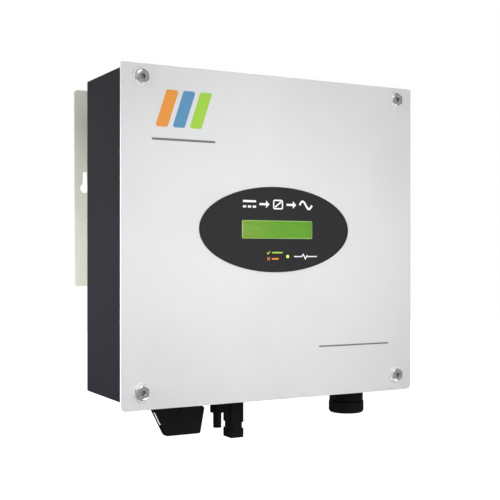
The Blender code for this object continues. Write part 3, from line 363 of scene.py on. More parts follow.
class Surface:
    """One Principled material and the textures that feed it. Texture sizes are in metres."""

    def __init__(self, name, colour, roughness, metallic=0.0, specular=0.5):
        material = bpy.data.materials.new(name)
        material.use_nodes = True
        MATERIALS[name] = material
        tree = material.node_tree
        self.nodes = tree.nodes
        self.links = tree.links
        self.shader = tree.nodes["Principled BSDF"]
        self.set("Base Color", (*colour, 1.0))
        self.set("Roughness", roughness)
        self.set("Metallic", metallic)
        self.set("Specular IOR Level", specular)
        self.place = self.nodes.new("ShaderNodeTexCoord").outputs["Object"]
        self.normal = None
        self.colour = None

    def set(self, socket, value):
        self.shader.inputs[socket].default_value = value

    def spread(self, size, stretch):
        mapping = self.nodes.new("ShaderNodeMapping")
        mapping.inputs["Scale"].default_value = [1 / (size * s) for s in stretch]
        self.links.new(self.place, mapping.inputs["Vector"])
        return mapping.outputs["Vector"]

    def texture(self, kind, size, stretch=(1, 1, 1), scale=1.0):
        texture = self.nodes.new(kind)
        texture.inputs["Scale"].default_value = scale
        self.links.new(self.spread(size, stretch), texture.inputs["Vector"])
        return texture

    def noise(self, size, detail=2.0, stretch=(1, 1, 1)):
        texture = self.texture("ShaderNodeTexNoise", size, stretch)
        texture.inputs["Detail"].default_value = detail
        return texture.outputs["Fac"]

    def cells(self, size, feature="F1"):
        texture = self.texture("ShaderNodeTexVoronoi", size)
        texture.feature = feature
        return texture.outputs["Distance"]

    def bands(self, size, direction, distortion):
        texture = self.texture("ShaderNodeTexWave", size, scale=math.tau / 20)
        texture.bands_direction = direction
        texture.inputs["Distortion"].default_value = distortion
        return texture.outputs["Fac"]

    def ranged(self, value, low, high, out_low=0.0, out_high=1.0):
        mapped = self.nodes.new("ShaderNodeMapRange")
        sockets = ("From Min", "From Max", "To Min", "To Max")
        for socket, number in zip(sockets, (low, high, out_low, out_high)):
            mapped.inputs[socket].default_value = number
        self.links.new(value, mapped.inputs["Value"])
        return mapped.outputs["Result"]

    def maths(self, operation, first, second=0.0):
        node = self.nodes.new("ShaderNodeMath")
        node.operation = operation
        for socket, value in zip(node.inputs, (first, second)):
            if isinstance(value, (int, float)):
                socket.default_value = value
            else:
                self.links.new(value, socket)
        return node.outputs["Value"]

    def along(self, axis):
        """The place along one axis, in metres."""
        split = self.nodes.new("ShaderNodeSeparateXYZ")
        self.links.new(self.place, split.inputs["Vector"])
        return split.outputs[axis]

    def tint(self, factor, colour, low=0.4, high=0.6):
        """Goes over to another colour where the factor rises from low to high."""
        mix = self.nodes.new("ShaderNodeMix")
        mix.data_type = "RGBA"
        base, other, result = mix.inputs[6], mix.inputs[7], mix.outputs[2]
        if self.colour is None:
            base.default_value = self.shader.inputs["Base Color"].default_value
        else:
            self.links.new(self.colour, base)
        other.default_value = (*colour, 1.0)
        self.links.new(self.ranged(factor, low, high), mix.inputs[0])
        self.links.new(result, self.shader.inputs["Base Color"])
        self.colour = result

    def polish(self, factor, low, high):
        """Roughness between two values as the factor goes over its usual range."""
        self.links.new(self.ranged(factor, 0.3, 0.7, low, high), self.shader.inputs["Roughness"])

    def bump(self, height, depth, strength=1.0):
        node = self.nodes.new("ShaderNodeBump")
        node.inputs["Distance"].default_value = depth
        node.inputs["Strength"].default_value = strength
        self.links.new(height, node.inputs["Height"])
        if self.normal is not None:
            self.links.new(self.normal, node.inputs["Normal"])
        self.normal = node.outputs["Normal"]
        self.links.new(self.normal, self.shader.inputs["Normal"])


def grained(name, look, tint, polish, bump):
    """A material by noise alone. The look is its colour, roughness, metallic and specular; the tint, the
    polish and the bump each start with the size, detail and stretch of their noise."""
    made = Surface(name, *look)
    made.tint(made.noise(*tint[0]), *tint[1:])
    made.polish(made.noise(*polish[0]), *polish[1:])
    made.bump(made.noise(*bump[0]), *bump[1:])


def powder_coat(name, colour, fleck, roughness):
    """Baked powder paint: a fine orange peel, tiny flecks and slow changes of gloss."""
    paint = Surface(name, colour, roughness)
    paint.tint(paint.noise(0.00035, 1.0), fleck, 0.58, 0.78)
    paint.tint(paint.noise(0.12, 3.0), [0.94 * c for c in colour], 0.45, 0.8)
    paint.polish(paint.noise(0.05, 3.0), roughness - 0.02, roughness + 0.03)
    paint.bump(paint.noise(0.0009, 2.0), 0.000012, 0.8)


def zinc_plate():
    """Zinc plating with a pale yellow-green passivation, drawn lines, handling marks and painted shade
    towards the top.
    """
    zinc = Surface("zinc_plate", (0.86, 0.88, 0.75), 0.42, 0.2)
    zinc.tint(zinc.noise(0.035, 4.0), (0.76, 0.76, 0.61), 0.52, 0.90)
    zinc.tint(zinc.cells(0.0035), (0.82, 0.83, 0.73), 0.55, 1.1)
    # Darker towards the top: painted shade, standing in for light that falls less on the upper part
    zinc.tint(zinc.along("Z"), (0.64, 0.65, 0.58), -0.04, 0.13)
    zinc.polish(zinc.noise(0.004, 4.0, (1.0, 1.0, 8.0)), 0.34, 0.52)
    zinc.bump(zinc.noise(0.0006, 3.0, (1.0, 1.0, 30.0)), 0.000006, 0.7)
    zinc.bump(zinc.noise(0.006, 2.0), 0.00002, 0.3)


def extruded_aluminium():
    """Aluminium as extruded: die lines along the fins and a dull oxide."""
    metal = Surface("extruded_aluminium", (0.58, 0.58, 0.59), 0.42, 0.85)
    metal.tint(metal.noise(0.0007, 3.0, (1.0, 1.0, 120.0)), (0.70, 0.70, 0.71), 0.45, 0.7)
    metal.tint(metal.noise(0.05, 4.0), (0.50, 0.50, 0.52), 0.5, 0.8)
    metal.polish(metal.noise(0.0012, 3.0, (1.0, 1.0, 60.0)), 0.34, 0.55)
    metal.bump(metal.noise(0.0005, 2.0, (1.0, 1.0, 200.0)), 0.00002, 0.7)


def tinned_steel():
    tin = Surface("tinned_steel", (0.55, 0.55, 0.56), 0.32, 0.9)
    tin.tint(tin.cells(0.004), (0.62, 0.62, 0.63), 0.3, 0.8)
    tin.polish(tin.noise(0.003, 3.0), 0.25, 0.42)
    tin.bump(tin.noise(0.0005, 2.0, (12.0, 1.0, 1.0)), 0.000006, 0.6)


def winding(name, colour, pitch, direction):
    """Enamelled wire laid side by side."""
    wire = Surface(name, colour, 0.30, 0.7)
    turns = wire.bands(pitch, direction, 0.3)
    wire.tint(turns, [0.35 * c for c in colour], 0.55, 0.15)
    wire.tint(wire.noise(0.006, 2.0), [1.25 * c for c in colour], 0.55, 0.8)
    wire.bump(turns, 0.0006, 0.8)


def moulded(name, colour, roughness, grain=0.0004, specular=0.25):
    """Moulded plastic: spark-eroded grain and a little flow marking."""
    plastic = Surface(name, colour, roughness, 0.0, specular)
    plastic.tint(plastic.noise(0.012, 3.0, (1.0, 1.0, 2.5)), [1.3 * c + 0.0005 for c in colour], 0.45, 0.8)
    plastic.polish(plastic.noise(0.003, 3.0), roughness - 0.08, roughness + 0.08)
    plastic.bump(plastic.cells(grain), 0.000016, 0.7)
    plastic.bump(plastic.noise(0.010, 2.0), 0.00006, 0.25)


def overlay_foil():
    """A printed polyester overlay with a fine velvet texture."""
    foil = Surface("overlay_foil", (0.0255, 0.0240, 0.0262), 0.48, 0.0, 0.10)
    foil.tint(foil.noise(0.00025, 1.0), (0.033, 0.032, 0.034), 0.5, 0.7)
    foil.polish(foil.noise(0.02, 3.0), 0.38, 0.48)
    foil.bump(foil.cells(0.00022), 0.000008, 0.6)


def clear_window():
    """A clear hard-coated window, with faint wipe marks."""
    pane = Surface("clear_window", (0.97, 0.99, 0.96), 0.03)
    pane.set("Transmission Weight", 1.0)
    pane.set("IOR", 1.30)
    pane.polish(pane.noise(0.012, 4.0, (3.0, 1.0, 1.0)), 0.01, 0.06)
    pane.bump(pane.noise(0.03, 1.0), 0.00001, 0.2)


def lcd_green():
    """A lit display of two lines: its light evens out along it, and its unlit dots show faintly."""
    columns, rows = 20, 2
    low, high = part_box("lcd_cell")
    margin = 0.0035
    lit = 0.86
    cell = Surface("lcd_green", (0.050, 0.110, 0.006), 0.25)
    dots = 1.0
    for axis, start, end, letters, split in (
        ("X", low.x, high.x, columns, 6),
        ("Z", low.z, high.z, rows, 9),
    ):
        pitch = (end - start - 2 * margin) / letters
        letter = cell.maths("DIVIDE", cell.maths("SUBTRACT", cell.along(axis), start + margin), pitch)
        dot = cell.maths("MULTIPLY", letter, float(split))
        from_middle = cell.maths("ABSOLUTE", cell.maths("SUBTRACT", letter, letters / 2))
        for mask in (
            cell.maths("LESS_THAN", cell.maths("FRACT", letter), (split - 1) / split),
            cell.maths("LESS_THAN", cell.maths("FRACT", dot), lit),
            cell.maths("LESS_THAN", from_middle, letters / 2),
        ):
            dots = cell.maths("MULTIPLY", dots, mask)
    light = cell.nodes.new("ShaderNodeValToRGB")
    stops = (
        (0.0, (0.210, 0.335, 0.001)),
        (0.12, (0.160, 0.335, 0.001)),
        (0.55, (0.098, 0.335, 0.004)),
        (1.0, (0.108, 0.330, 0.020)),
    )
    ramp = light.color_ramp.elements
    for index, (stop, colour) in enumerate(stops):
        element = ramp[index] if index < len(ramp) else ramp.new(stop)
        element.position = stop
        element.color = (*colour, 1.0)
    cell.links.new(cell.ranged(cell.along("X"), low.x, high.x), light.inputs["Fac"])
    dimmed = cell.nodes.new("ShaderNodeMix")
    dimmed.data_type = "RGBA"
    dimmed.blend_type = "MULTIPLY"
    dimmed.inputs[7].default_value = (0.90, 0.92, 0.90, 1.0)
    cell.links.new(dots, dimmed.inputs[0])
    cell.links.new(light.outputs["Color"], dimmed.inputs[6])
    cell.links.new(dimmed.outputs[2], cell.shader.inputs["Emission Color"])
    cell.set("Emission Strength", 0.82)
    cell.tint(dots, (0.040, 0.095, 0.005), 0.0, 1.0)
    cell.bump(dots, 0.00002, 0.5)


def lamp_lens():
    lens = Surface("lamp_lens", (0.45, 0.75, 0.10), 0.15)
    lens.set("Emission Color", (0.60, 0.95, 0.12, 1.0))
    lens.set("Emission Strength", 1.1)
    lens.tint(lens.noise(0.001, 1.0), (0.60, 0.90, 0.20), 0.45, 0.7)
    lens.bump(lens.noise(0.0008, 1.0), 0.00002, 0.4)


def board_green():
    """Solder mask over tracks, with tinned pads."""
    board = Surface("board_green", (0.012, 0.120, 0.050), 0.32)
    board.tint(board.cells(0.0045, "DISTANCE_TO_EDGE"), (0.020, 0.190, 0.080), 0.10, 0.06)
    board.tint(board.cells(0.006), (0.62, 0.62, 0.60), 0.12, 0.09)
    board.polish(board.noise(0.01, 2.0), 0.25, 0.42)
    board.bump(board.cells(0.0045, "DISTANCE_TO_EDGE"), 0.00008, 0.4)


def make_materials():
    powder_coat("light_grey_paint", (0.70, 0.70, 0.705), (0.80, 0.80, 0.81), 0.36)
    powder_coat("dark_grey_paint", (0.0088, 0.0081, 0.0120), (0.0145, 0.0135, 0.0175), 0.55)
    zinc_plate()
    extruded_aluminium()
    grained(
        "bright_steel",
        look=((0.92, 0.92, 0.93), 0.12, 1.0),
        tint=((0.004, 3.0), (0.80, 0.80, 0.82), 0.5, 0.75),
        polish=((0.0012, 4.0), 0.08, 0.22),
        bump=((0.0003, 2.0, (1.0, 1.0, 14.0)), 0.000003, 0.5),
    )
    grained(
        "bright_zinc",
        look=((0.88, 0.88, 0.89), 0.28, 0.35),
        tint=((0.003, 3.0), (0.80, 0.80, 0.82), 0.5, 0.8),
        polish=((0.001, 3.0), 0.22, 0.36),
        bump=((0.0005,), 0.000005, 0.5),
    )
    # Darker steel for the inside of each tool recess: painted shade, standing in for the shadow deep in the
    # recess
    grained(
        "painted_shade_steel",
        look=((0.30, 0.30, 0.31), 0.45, 0.6),
        tint=((0.0008, 3.0), (0.18, 0.18, 0.185), 0.45, 0.7),
        polish=((0.0006, 3.0), 0.38, 0.60),
        bump=((0.0004,), 0.00001, 0.6),
    )
    tinned_steel()
    grained(
        "brass",
        look=((0.78, 0.60, 0.27), 0.26, 1.0),
        tint=((0.003, 3.0), (0.66, 0.47, 0.20), 0.5, 0.8),
        polish=((0.001, 3.0), 0.18, 0.36),
        bump=((0.0004, 2.0, (1.0, 1.0, 0.2)), 0.000008, 0.6),
    )
    winding("copper_winding", (0.58, 0.24, 0.10), 0.0018, "Z")
    grained(
        "black_rubber",
        look=((0.018, 0.018, 0.018), 0.72, 0.0, 0.35),
        tint=((0.004, 4.0), (0.032, 0.031, 0.030), 0.5, 0.8),
        polish=((0.002, 3.0), 0.62, 0.85),
        bump=((0.0004, 3.0), 0.00003, 0.7),
    )
    moulded("black_plastic", (0.0036, 0.0036, 0.0032), 0.36, specular=0.15)
    moulded("grey_plastic", (0.17, 0.17, 0.17), 0.45)
    overlay_foil()
    clear_window()
    lcd_green()
    lamp_lens()
    board_green()
    grained(
        "insulating_film",
        look=((0.68, 0.62, 0.42), 0.38),
        tint=((0.02, 3.0), (0.60, 0.52, 0.30), 0.45, 0.75),
        polish=((0.006,), 0.30, 0.48),
        bump=((0.03,), 0.0004, 0.3),
    )
    moulded("capacitor_sleeve", (0.03, 0.04, 0.09), 0.30, 0.0008)
    moulded("relay_case", (0.05, 0.12, 0.35), 0.34)
    moulded("module_case", (0.09, 0.09, 0.09), 0.42)
    for name, colour in (
        ("red_insulation", (0.45, 0.02, 0.02)),
        ("black_insulation", (0.015, 0.015, 0.014)),
        ("grey_insulation", (0.35, 0.35, 0.36)),
    ):
        grained(
            name,
            look=(colour, 0.42, 0.0, 0.4),
            tint=((0.008,), [0.8 * c for c in colour], 0.45, 0.75),
            polish=((0.004,), 0.34, 0.5),
            bump=((0.0008,), 0.00002, 0.5),
        )
    for name, colour in (
        ("white_ink", (0.86, 0.86, 0.86)),
        ("green_ink", (0.35, 0.62, 0.06)),
        ("orange_ink", (0.80, 0.30, 0.05)),
        ("blue_ink", (0.10, 0.28, 0.48)),
        # Not ink: a painted highlight for the window's rim
        ("painted_rim_highlight", (0.42, 0.55, 0.26)),
        ("grey_ink", (0.16, 0.16, 0.17)),
    ):
        grained(
            name,
            look=(colour, 0.5, 0.0, 0.3),
            tint=((0.0006,), [0.93 * c for c in colour], 0.5, 0.8),
            polish=((0.001,), 0.44, 0.58),
            bump=((0.0004,), 0.000006, 0.5),
        )


def finish_cad_nodes():
    """Every CAD node takes the material of its slot; the ones that stay visible show it."""
    for part in frame["record"]["subparts"]:
        obj = frame["nodes"][part["node"]]
        obj.data.materials.clear()
        obj.data.materials.append(MATERIALS[part["material_slot"]])
        for polygon in obj.data.polygons:
            polygon.material_index = 0


# The pieces


def screw_centres():
    names = [f"{row}_{side}" for row in ("top", "bottom") for side in ("left", "right")]
    return {name: middle(f"cover_screw_{name}") for name in names}


def front_cover():
    """The flat front plate, with round rims, and the studs behind it that carry the display board."""
    low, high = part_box("front_cover")
    front, back = low.y, low.y + SHEET
    radii = [PLATE_BOTTOM_RADIUS] * 2 + [PLATE_TOP_RADIUS] * 2
    lamp = middle("status_lamp")
    holes = [circle((at.x, at.z), SCREW_HOLE_RADIUS) for at in screw_centres().values()]
    holes.append(box_outline(*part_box("lcd_cell"), "Y", 0.001, 4, GAP))
    holes.append(circle((lamp.x, lamp.z), LAMP_HOLE_RADIUS))
    shapes = [sheet(box_outline(low, high, "Y", radii, 8), holes, front, back, "Y", PLATE_EDGE, 4)]
    board_low, board_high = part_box("display_board")
    stud, weld, stud_x, inset = 0.0025, 0.0008, 0.0555, 0.005
    profile = [(stud + weld, back - 0.0002), (stud, back + weld), (stud, high.y)]
    for x in (-stud_x, stud_x):
        for z in (board_low.z + inset, board_high.z - inset):
            shapes.append(turned(profile, "Y", (x, 0, z), 24))
    piece("front_plate", together(*shapes), "inverter", "light_grey_paint", "front_cover")


def enclosure():
    """The folded box: round bends, a flange round its mouth, and seams where the end walls meet the sides."""
    low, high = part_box("enclosure")
    front, back = low.y, high.y

    def ring(inset, y, corner):
        return ring_of(box_outline(low, high, "Y", corner, 4, -inset), "Y", y)

    inner, tight = 0.0006, 0.0004
    rings = [
        ring(SHEET, back - SHEET, inner),
        ring(SHEET, front + SHEET, inner),
        ring(MOUTH_INSET, front + SHEET, MOUTH_RADIUS),
        ring(MOUTH_INSET, front, MOUTH_RADIUS),
        ring(tight, front, BOX_EDGE_RADIUS - tight),
    ]
    rings += [ring(inset, front + depth, BOX_EDGE_RADIUS - inset) for inset, depth in rim(tight, 2)[1:]]
    bend = [(inset, back - depth) for inset, depth in reversed(rim(BOX_EDGE_RADIUS, 5))]
    rings += [ring(inset, y, max(BOX_EDGE_RADIUS - inset, 0.0002)) for inset, y in bend]

    seams = []
    seam_x = high.x - SHEET - BOX_EDGE_RADIUS
    for x in (-seam_x, seam_x):
        left = x - SEAM_WIDTH / 2
        for z in (low.z, high.z):
            corners = (left, z - SEAM_WIDTH), (left + SEAM_WIDTH, z + SEAM_WIDTH)
            groove = rounded_box(*corners, SEAM_WIDTH / 5, 1)
            seams.append(prism(groove, front + 0.001, back + 0.002, "Y", 0))
    below, above = low.z - 0.004, low.z + 0.006

    def hole(node, radius, steps):
        return turned([(radius, below), (radius, above)], "Z", middle(node), steps)

    holes = [
        hole("switch_shaft", 0.0070, 32),
        hole("pv_socket", 0.0055, 32),
        hole("pv_plug", 0.0055, 32),
        hole("ac_receptacle", 0.0142, 32),
        hole("earth_stud", 0.0029, 32),
        prism(box_about(middle("comm_connector"), 0.0145, 0.0055, 0.001), below, above, "Z", 0),
        hole("comm_screw_left", 0.0020, 20),
        hole("comm_screw_right", 0.0020, 20),
    ]
    shapes = [cut(lofted(rings), together(*seams), together(*holes))]

    nut_radius, nut_start, nut_end = 0.0055, front + SHEET - 0.0002, front + 0.014
    section = [
        (SCREW_HOLE_RADIUS, nut_start),
        (nut_radius, nut_start),
        (nut_radius, nut_end),
        (SCREW_HOLE_RADIUS, nut_end),
    ]
    nut = filleted(section, 0.0003, 2)
    shapes += [turned(nut, "Y", at, 24, closed=True) for at in screw_centres().values()]
    board_low, board_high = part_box("main_board")
    post_x, inset, seat = 0.130, 0.010, board_high.y + GAP
    post = filleted([(0.004, back - 0.0018), (0.004, seat), (0.002, seat)], 0.0004, 2, False)
    for x in (-post_x, post_x):
        for z in (board_low.z + inset, board_high.z - inset):
            shapes.append(turned(post, "Y", (x, 0, z), 20))
    piece("folded_box", together(*shapes), "inverter", "dark_grey_paint", "enclosure")


def cover_gasket():
    """A soft seal with a rounded section, squeezed between the plate and the flange."""
    low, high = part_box("cover_gasket")
    band = 0.014
    holes = [box_outline(low, high, "Y", MOUTH_RADIUS, 4, -band)]
    holes += [circle((at.x, at.z), SCREW_HOLE_RADIUS, 24) for at in screw_centres().values()]
    shape = sheet(box_outline(low, high, "Y", 0.0015, 4), holes, low.y, high.y, "Y", 0.0006, 4)
    piece("plate_seal", shape, "inverter", "black_rubber", "cover_gasket")


def cover_fasteners():
    """Bright hexagonal screws with a lobed recess in their crown, on wide washers."""
    lobe_radius, lobe_depth = 0.0025, 0.0026
    shank, root, pitch = 0.0030, 0.0026, 0.001
    head = hexagon(0.0125, 0.0035)

    def head_radius(radius, along, angle):
        if radius < 0.0028 and along < seat:
            return radius * (1 + 0.12 * math.cos(6 * angle))
        return head(radius, along, angle)

    for name, at in screw_centres().items():
        washer_low, washer_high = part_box(f"cover_washer_{name}")
        section = [
            (SCREW_HOLE_RADIUS, washer_high.y),
            (washer_high.x - at.x, washer_high.y),
            (washer_high.x - at.x, washer_low.y),
            (SCREW_HOLE_RADIUS, washer_low.y),
        ]
        washer = turned(filleted(section, 0.0005, 4), "Y", at, 64, closed=True)
        piece(f"bright_washer_{name}", washer, "inverter", "bright_zinc", f"cover_washer_{name}")

        top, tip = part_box(f"cover_screw_{name}")
        seat, crown = washer_low.y - GAP, top.y
        profile = [(0.0020, tip.y)]
        for k in range(int((tip.y - 0.002 - (seat + 0.002)) / pitch)):
            start = tip.y - 0.001 - k * pitch
            profile += [(shank, start), (root, start - pitch / 2)]
        profile += [(shank, seat + 0.001), (shank, seat)]
        profile += [(0.0064, seat), (0.0070, seat - 0.0003), (0.0072, seat - 0.0006)]
        chamfer = ((0.0072, 0.0014), (0.0070, 0.0010), (0.0066, 0.0006), (0.0061, 0.0003))
        shine = ((0.0055, 0.00012), (0.0046, 0.00003))
        profile += [(radius, crown + depth) for radius, depth in chamfer + shine]
        profile += [(0.0036, crown)]
        profile += [(lobe_radius + 0.0002, crown), (lobe_radius, crown + 0.0002)]
        profile += [(lobe_radius, crown + lobe_depth)]
        profile += [(0.0008, crown + lobe_depth + 0.0004)]
        screw = turned(profile, "Y", at, 96, radius_at=head_radius)
        piece(f"bright_screw_{name}", screw, "inverter", "bright_steel", f"cover_screw_{name}")

        # A darker steel cup inside each recess: painted shade where the recess lies in shadow
        wall, wall_top, bottom = lobe_radius - 0.0001, crown + GAP, crown + lobe_depth
        cup = [
            (wall, wall_top),
            (wall, bottom),
            (0.0002, bottom),
            (0.0002, bottom - 0.0002),
            (wall - 0.0002, bottom - 0.0002),
            (wall - 0.0002, wall_top),
        ]
        lining = turned(cup, "Y", at, 96, closed=True, radius_at=head_radius)
        piece(f"painted_recess_shade_{name}", lining, "inverter", "painted_shade_steel")


def display():
    """The elliptical overlay, its clear window and the lamp's lens."""
    low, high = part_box("display_overlay")
    centre = (low + high) / 2
    half_width, half_height = high.x - centre.x, high.z - centre.z
    angles = [math.tau * k / 160 for k in range(160)]
    outline = [(centre.x + half_width * math.cos(a), centre.z + half_height * math.sin(a)) for a in angles]
    pane_low, pane_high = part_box("display_window")
    lamp = middle("status_lamp")
    holes = [box_outline(pane_low, pane_high, "Y", 0.0009, 4, GAP), circle((lamp.x, lamp.z), 0.0018, 32)]
    foil = sheet(outline, holes, low.y, high.y, "Y", 0.0002, 3)
    piece("display_foil", foil, "inverter", "overlay_foil", "display_overlay")

    outline = box_outline(pane_low, pane_high, "Y", 0.0007, 4)
    pane = prism(outline, pane_low.y, pane_high.y, "Y", 0.0002)
    piece("display_pane", pane, "inverter", "clear_window", "display_window")
    # A pale ring round the window's edge: painted highlight, standing in for light caught by the window's
    # bevelled rim
    piece("painted_window_highlight", print_or_highlight_ring(outline, 0.0005, pane_low.y, "Y"), "inverter", "painted_rim_highlight")

    tip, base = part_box("status_lamp")
    flange, dome, dome_height = 0.0024, 0.0015, 0.0009
    shoulder = low.y + 0.003
    profile = [(flange, base.y), (flange, shoulder + 0.0008), (dome, shoulder)]
    for angle in map(math.radians, range(0, 85, 12)):
        profile.append((dome * math.cos(angle), tip.y + dome_height * (1 - math.sin(angle))))
    piece("lamp_lens", turned(profile, "Y", lamp, 40), "inverter", "lamp_lens", "status_lamp")


def printed(name, finish, outlines, surface):
    """Ink on a face that looks towards -Y."""
    shapes = [prism(outline, surface + INK_SINK, surface - INK, "Y", 0) for outline in outlines]
    piece(name, together(*shapes), "inverter", finish)


def print_or_highlight_ring(outline, width, surface, axis):
    """Ink along the inside of an outline, or a painted highlight round the window's rim."""
    hole = moved_in(outline, width)
    return sheet(outline, [hole], surface - INK, surface + INK_SINK, axis, 0.00001, 1)


def sine_wave(left, right, centre_z, height, periods, width):
    count = 40 * periods
    points = []
    for k in range(count + 1):
        x = left + (right - left) * k / count
        points.append((x, centre_z + height / 2 * math.sin(math.tau * periods * k / count)))
    return stroke(points, width)


def bar(left, right, centre_z, thickness, radius=0.0002):
    return rounded_box((left, centre_z - thickness / 2), (right, centre_z + thickness / 2), radius, 3)


def arrow(left, right, centre_z, size, width):
    """A shaft and a head, pointing right, as one outline."""
    neck = right - size * 0.55
    half = size / 2
    return [
        (left, centre_z - width / 2),
        (neck, centre_z - width / 2),
        (neck, centre_z - half),
        (right, centre_z),
        (neck, centre_z + half),
        (neck, centre_z + width / 2),
        (left, centre_z + width / 2),
    ]


def overlay_prints():
    """Plain pictograms: direct current turned into alternating current, and what the lamp's colours say."""
    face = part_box("display_overlay")[0].y
    window_low, window_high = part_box("display_window")
    line, height = 0.0022, 0.0100
    centre_z = window_high.z + 0.0166
    left, right = window_low.x + 0.0008, window_high.x - 0.0002
    sign, arrow_start, arrow_end, arrow_size = 0.0150, 0.0190, 0.0308, 0.0076
    apart = 0.0027
    dash = (left + sign - left) / 4
    signs = [bar(left, left + sign, centre_z + apart, line)]
    for k in range(3):
        start = left + k * 1.5 * dash
        signs.append(bar(start, start + dash, centre_z - apart, line))

    converter, frame_line = 0.0118, 0.0015
    centre_x = (left + right) / 2
    frame_outline = box_about((centre_x, centre_z), converter / 2, height / 2, 0.0021, 4)
    inside = frame_line + 0.0008
    ends = [
        (centre_x - converter / 2 + inside, centre_z - height / 2 + inside),
        (centre_x + converter / 2 - inside, centre_z + height / 2 - inside),
    ]
    signs += [arrow(left + arrow_start, left + arrow_end, centre_z, arrow_size, line)]
    signs += [stroke(ends, frame_line)]
    signs += [arrow(right - arrow_end, right - arrow_start, centre_z, arrow_size, line)]
    signs += [sine_wave(right - sign, right, centre_z, height - line, 1, line)]
    printed("print_power_flow", "white_ink", signs, face)
    ring = print_or_highlight_ring(frame_outline, frame_line, face, "Y")
    piece("print_converter_frame", ring, "inverter", "white_ink")

    lamp = middle("status_lamp")
    mark, mark_line, bar_line, bar_radius = 0.0036, 0.0009, 0.0016, 0.0007
    row_left = lamp.x - 0.0246
    bar_left = row_left + 0.0056
    high_row, low_row = lamp.z + 0.0040, lamp.z - 0.0022
    tick = [
        (row_left, high_row),
        (row_left + 0.35 * mark, high_row - 0.4 * mark),
        (row_left + mark, high_row + 0.45 * mark),
    ]
    good = bar(bar_left, lamp.x - 0.0062, high_row, bar_line, bar_radius)
    printed("print_normal", "green_ink", [stroke(tick, mark_line), good], face)
    half = 0.4 * mark
    cross_x = row_left + mark / 2
    crosses = [
        stroke([(cross_x - half, low_row - way * half), (cross_x + half, low_row + way * half)], mark_line)
        for way in (-1, 1)
    ]
    bad = bar(bar_left, lamp.x - 0.0110, low_row, bar_line, bar_radius)
    printed("print_fault", "orange_ink", [crosses[0], bad], face)
    printed("print_fault_cross", "orange_ink", crosses[1:], face)

    start, end = lamp.x + 0.0075, lamp.x + 0.0350
    beat = 0.0024
    x = start + 0.0090
    pulse = [
        (start, lamp.z),
        (x, lamp.z),
        (x + 0.0020, lamp.z + beat),
        (x + 0.0045, lamp.z - beat),
        (x + 0.0065, lamp.z + 0.4 * beat),
        (x + 0.0080, lamp.z),
        (end, lamp.z),
    ]
    printed("print_status", "white_ink", [stroke(pulse, 0.0011)], face)


def plate_prints():
    """A plain badge of three slanted bars at the upper left, and a thin rule at the lower right."""
    low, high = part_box("front_cover")
    face = low.y
    centre_x, centre_z = low.x + 0.0655, high.z - 0.0410
    slant, width, pitch, height = 0.012, 0.013, 0.018, 0.036
    for k, colour in enumerate(("orange_ink", "blue_ink", "green_ink")):
        x = centre_x + (k - 1) * pitch
        corners = [
            (x - width / 2 - slant / 2, centre_z - height / 2),
            (x + width / 2 - slant / 2, centre_z - height / 2),
            (x + width / 2 + slant / 2, centre_z + height / 2),
            (x - width / 2 + slant / 2, centre_z + height / 2),
        ]
        printed(f"print_badge_bar_{k + 1}", colour, [filleted(corners, 0.002, 4)], face)
    rule_z = centre_z - height / 2 - 0.012
    rule = bar(centre_x - 0.034, centre_x + 0.034, rule_z, 0.0022, 0.001)
    printed("print_badge_rule", "grey_ink", [rule], face)
    rule_right, rule_z = high.x - 0.0305, low.z + 0.0520
    printed("print_rule", "grey_ink", [bar(rule_right - 0.089, rule_right, rule_z, 0.0016, 0.0007)], face)


def switch():
    """The isolator's handle, with a ribbed disc, a tapering blade and a white pointer, and its escutcheon."""
    low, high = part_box("switch_handle")
    axis = middle("switch_shaft")
    disc_radius = 0.028
    disc = filleted(
        [
            (0.0029, high.z),
            (disc_radius, high.z),
            (disc_radius, high.z - 0.0042),
            (disc_radius - 0.0016, high.z - 0.005),
            (0.0029, high.z - 0.005),
        ],
        0.0005,
        3,
    )
    shapes = [turned(disc, "Z", axis, 288, closed=True, radius_at=ripple(36, 0.0006, 0.0268))]

    edge_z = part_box("front_cover")[0].z
    lip = high.z - 0.0046
    half_width, shoulder = 0.0300, 0.0090
    corners = [
        (axis.x - half_width, lip),
        (axis.x + half_width - shoulder, lip),
        (axis.x + half_width - shoulder, edge_z),
        (axis.x + half_width, edge_z - shoulder),
        (axis.x + 0.0252, low.z),
        (axis.x - 0.0124, low.z),
        (axis.x - half_width, edge_z),
    ]
    radii = [0.0005, 0.0005, 0.0006, 0.0020, 0.0018, 0.0018, 0.0020]
    blade_outline = filleted(corners, radii, 5)
    half = 0.0054
    draft = 0.0003
    levels = levels_between(-half, half, 0.0006, 4)

    def drafted(point):
        x, y, z = point
        taper = 1 - draft / half * (lip - z) / (lip - low.z)
        return Vector((x, axis.y + y * taper, z))

    rings = [ring_of(moved_in(blade_outline, inset), "Y", along) for inset, along in levels]
    shapes.append(lofted([[drafted(point) for point in ring] for ring in rings]))
    piece("isolator_handle", together(*shapes), "dc_switch", "black_plastic", "switch_handle")

    start, end = Vector(corners[6]), Vector(corners[5])
    run = (end - start).normalized()
    outwards = Vector((run.y, -run.x))
    first, last = start.lerp(end, 0.30), start.lerp(end, 0.66)
    pointer_outline = [
        tuple(first - outwards * INK_SINK),
        tuple(last - outwards * INK_SINK),
        tuple(last + outwards * INK),
        tuple(first + outwards * INK),
    ]
    pointer = prism(pointer_outline, axis.y - 0.0038, axis.y - 0.0006, "Y", 0)
    piece("handle_pointer", pointer, "dc_switch", "white_ink")

    ring_low, ring_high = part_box("switch_escutcheon")
    outer = ring_high.x - axis.x
    bore, chamfer = 0.0065, 0.0009
    section = [
        (bore, ring_high.z),
        (outer, ring_high.z),
        (outer, ring_low.z + chamfer),
        (outer - chamfer, ring_low.z),
        (bore, ring_low.z),
    ]
    escutcheon = turned(filleted(section, 0.0003, 3), "Z", axis, 96, closed=True)
    piece("handle_escutcheon", escutcheon, "inverter", "grey_plastic", "switch_escutcheon")


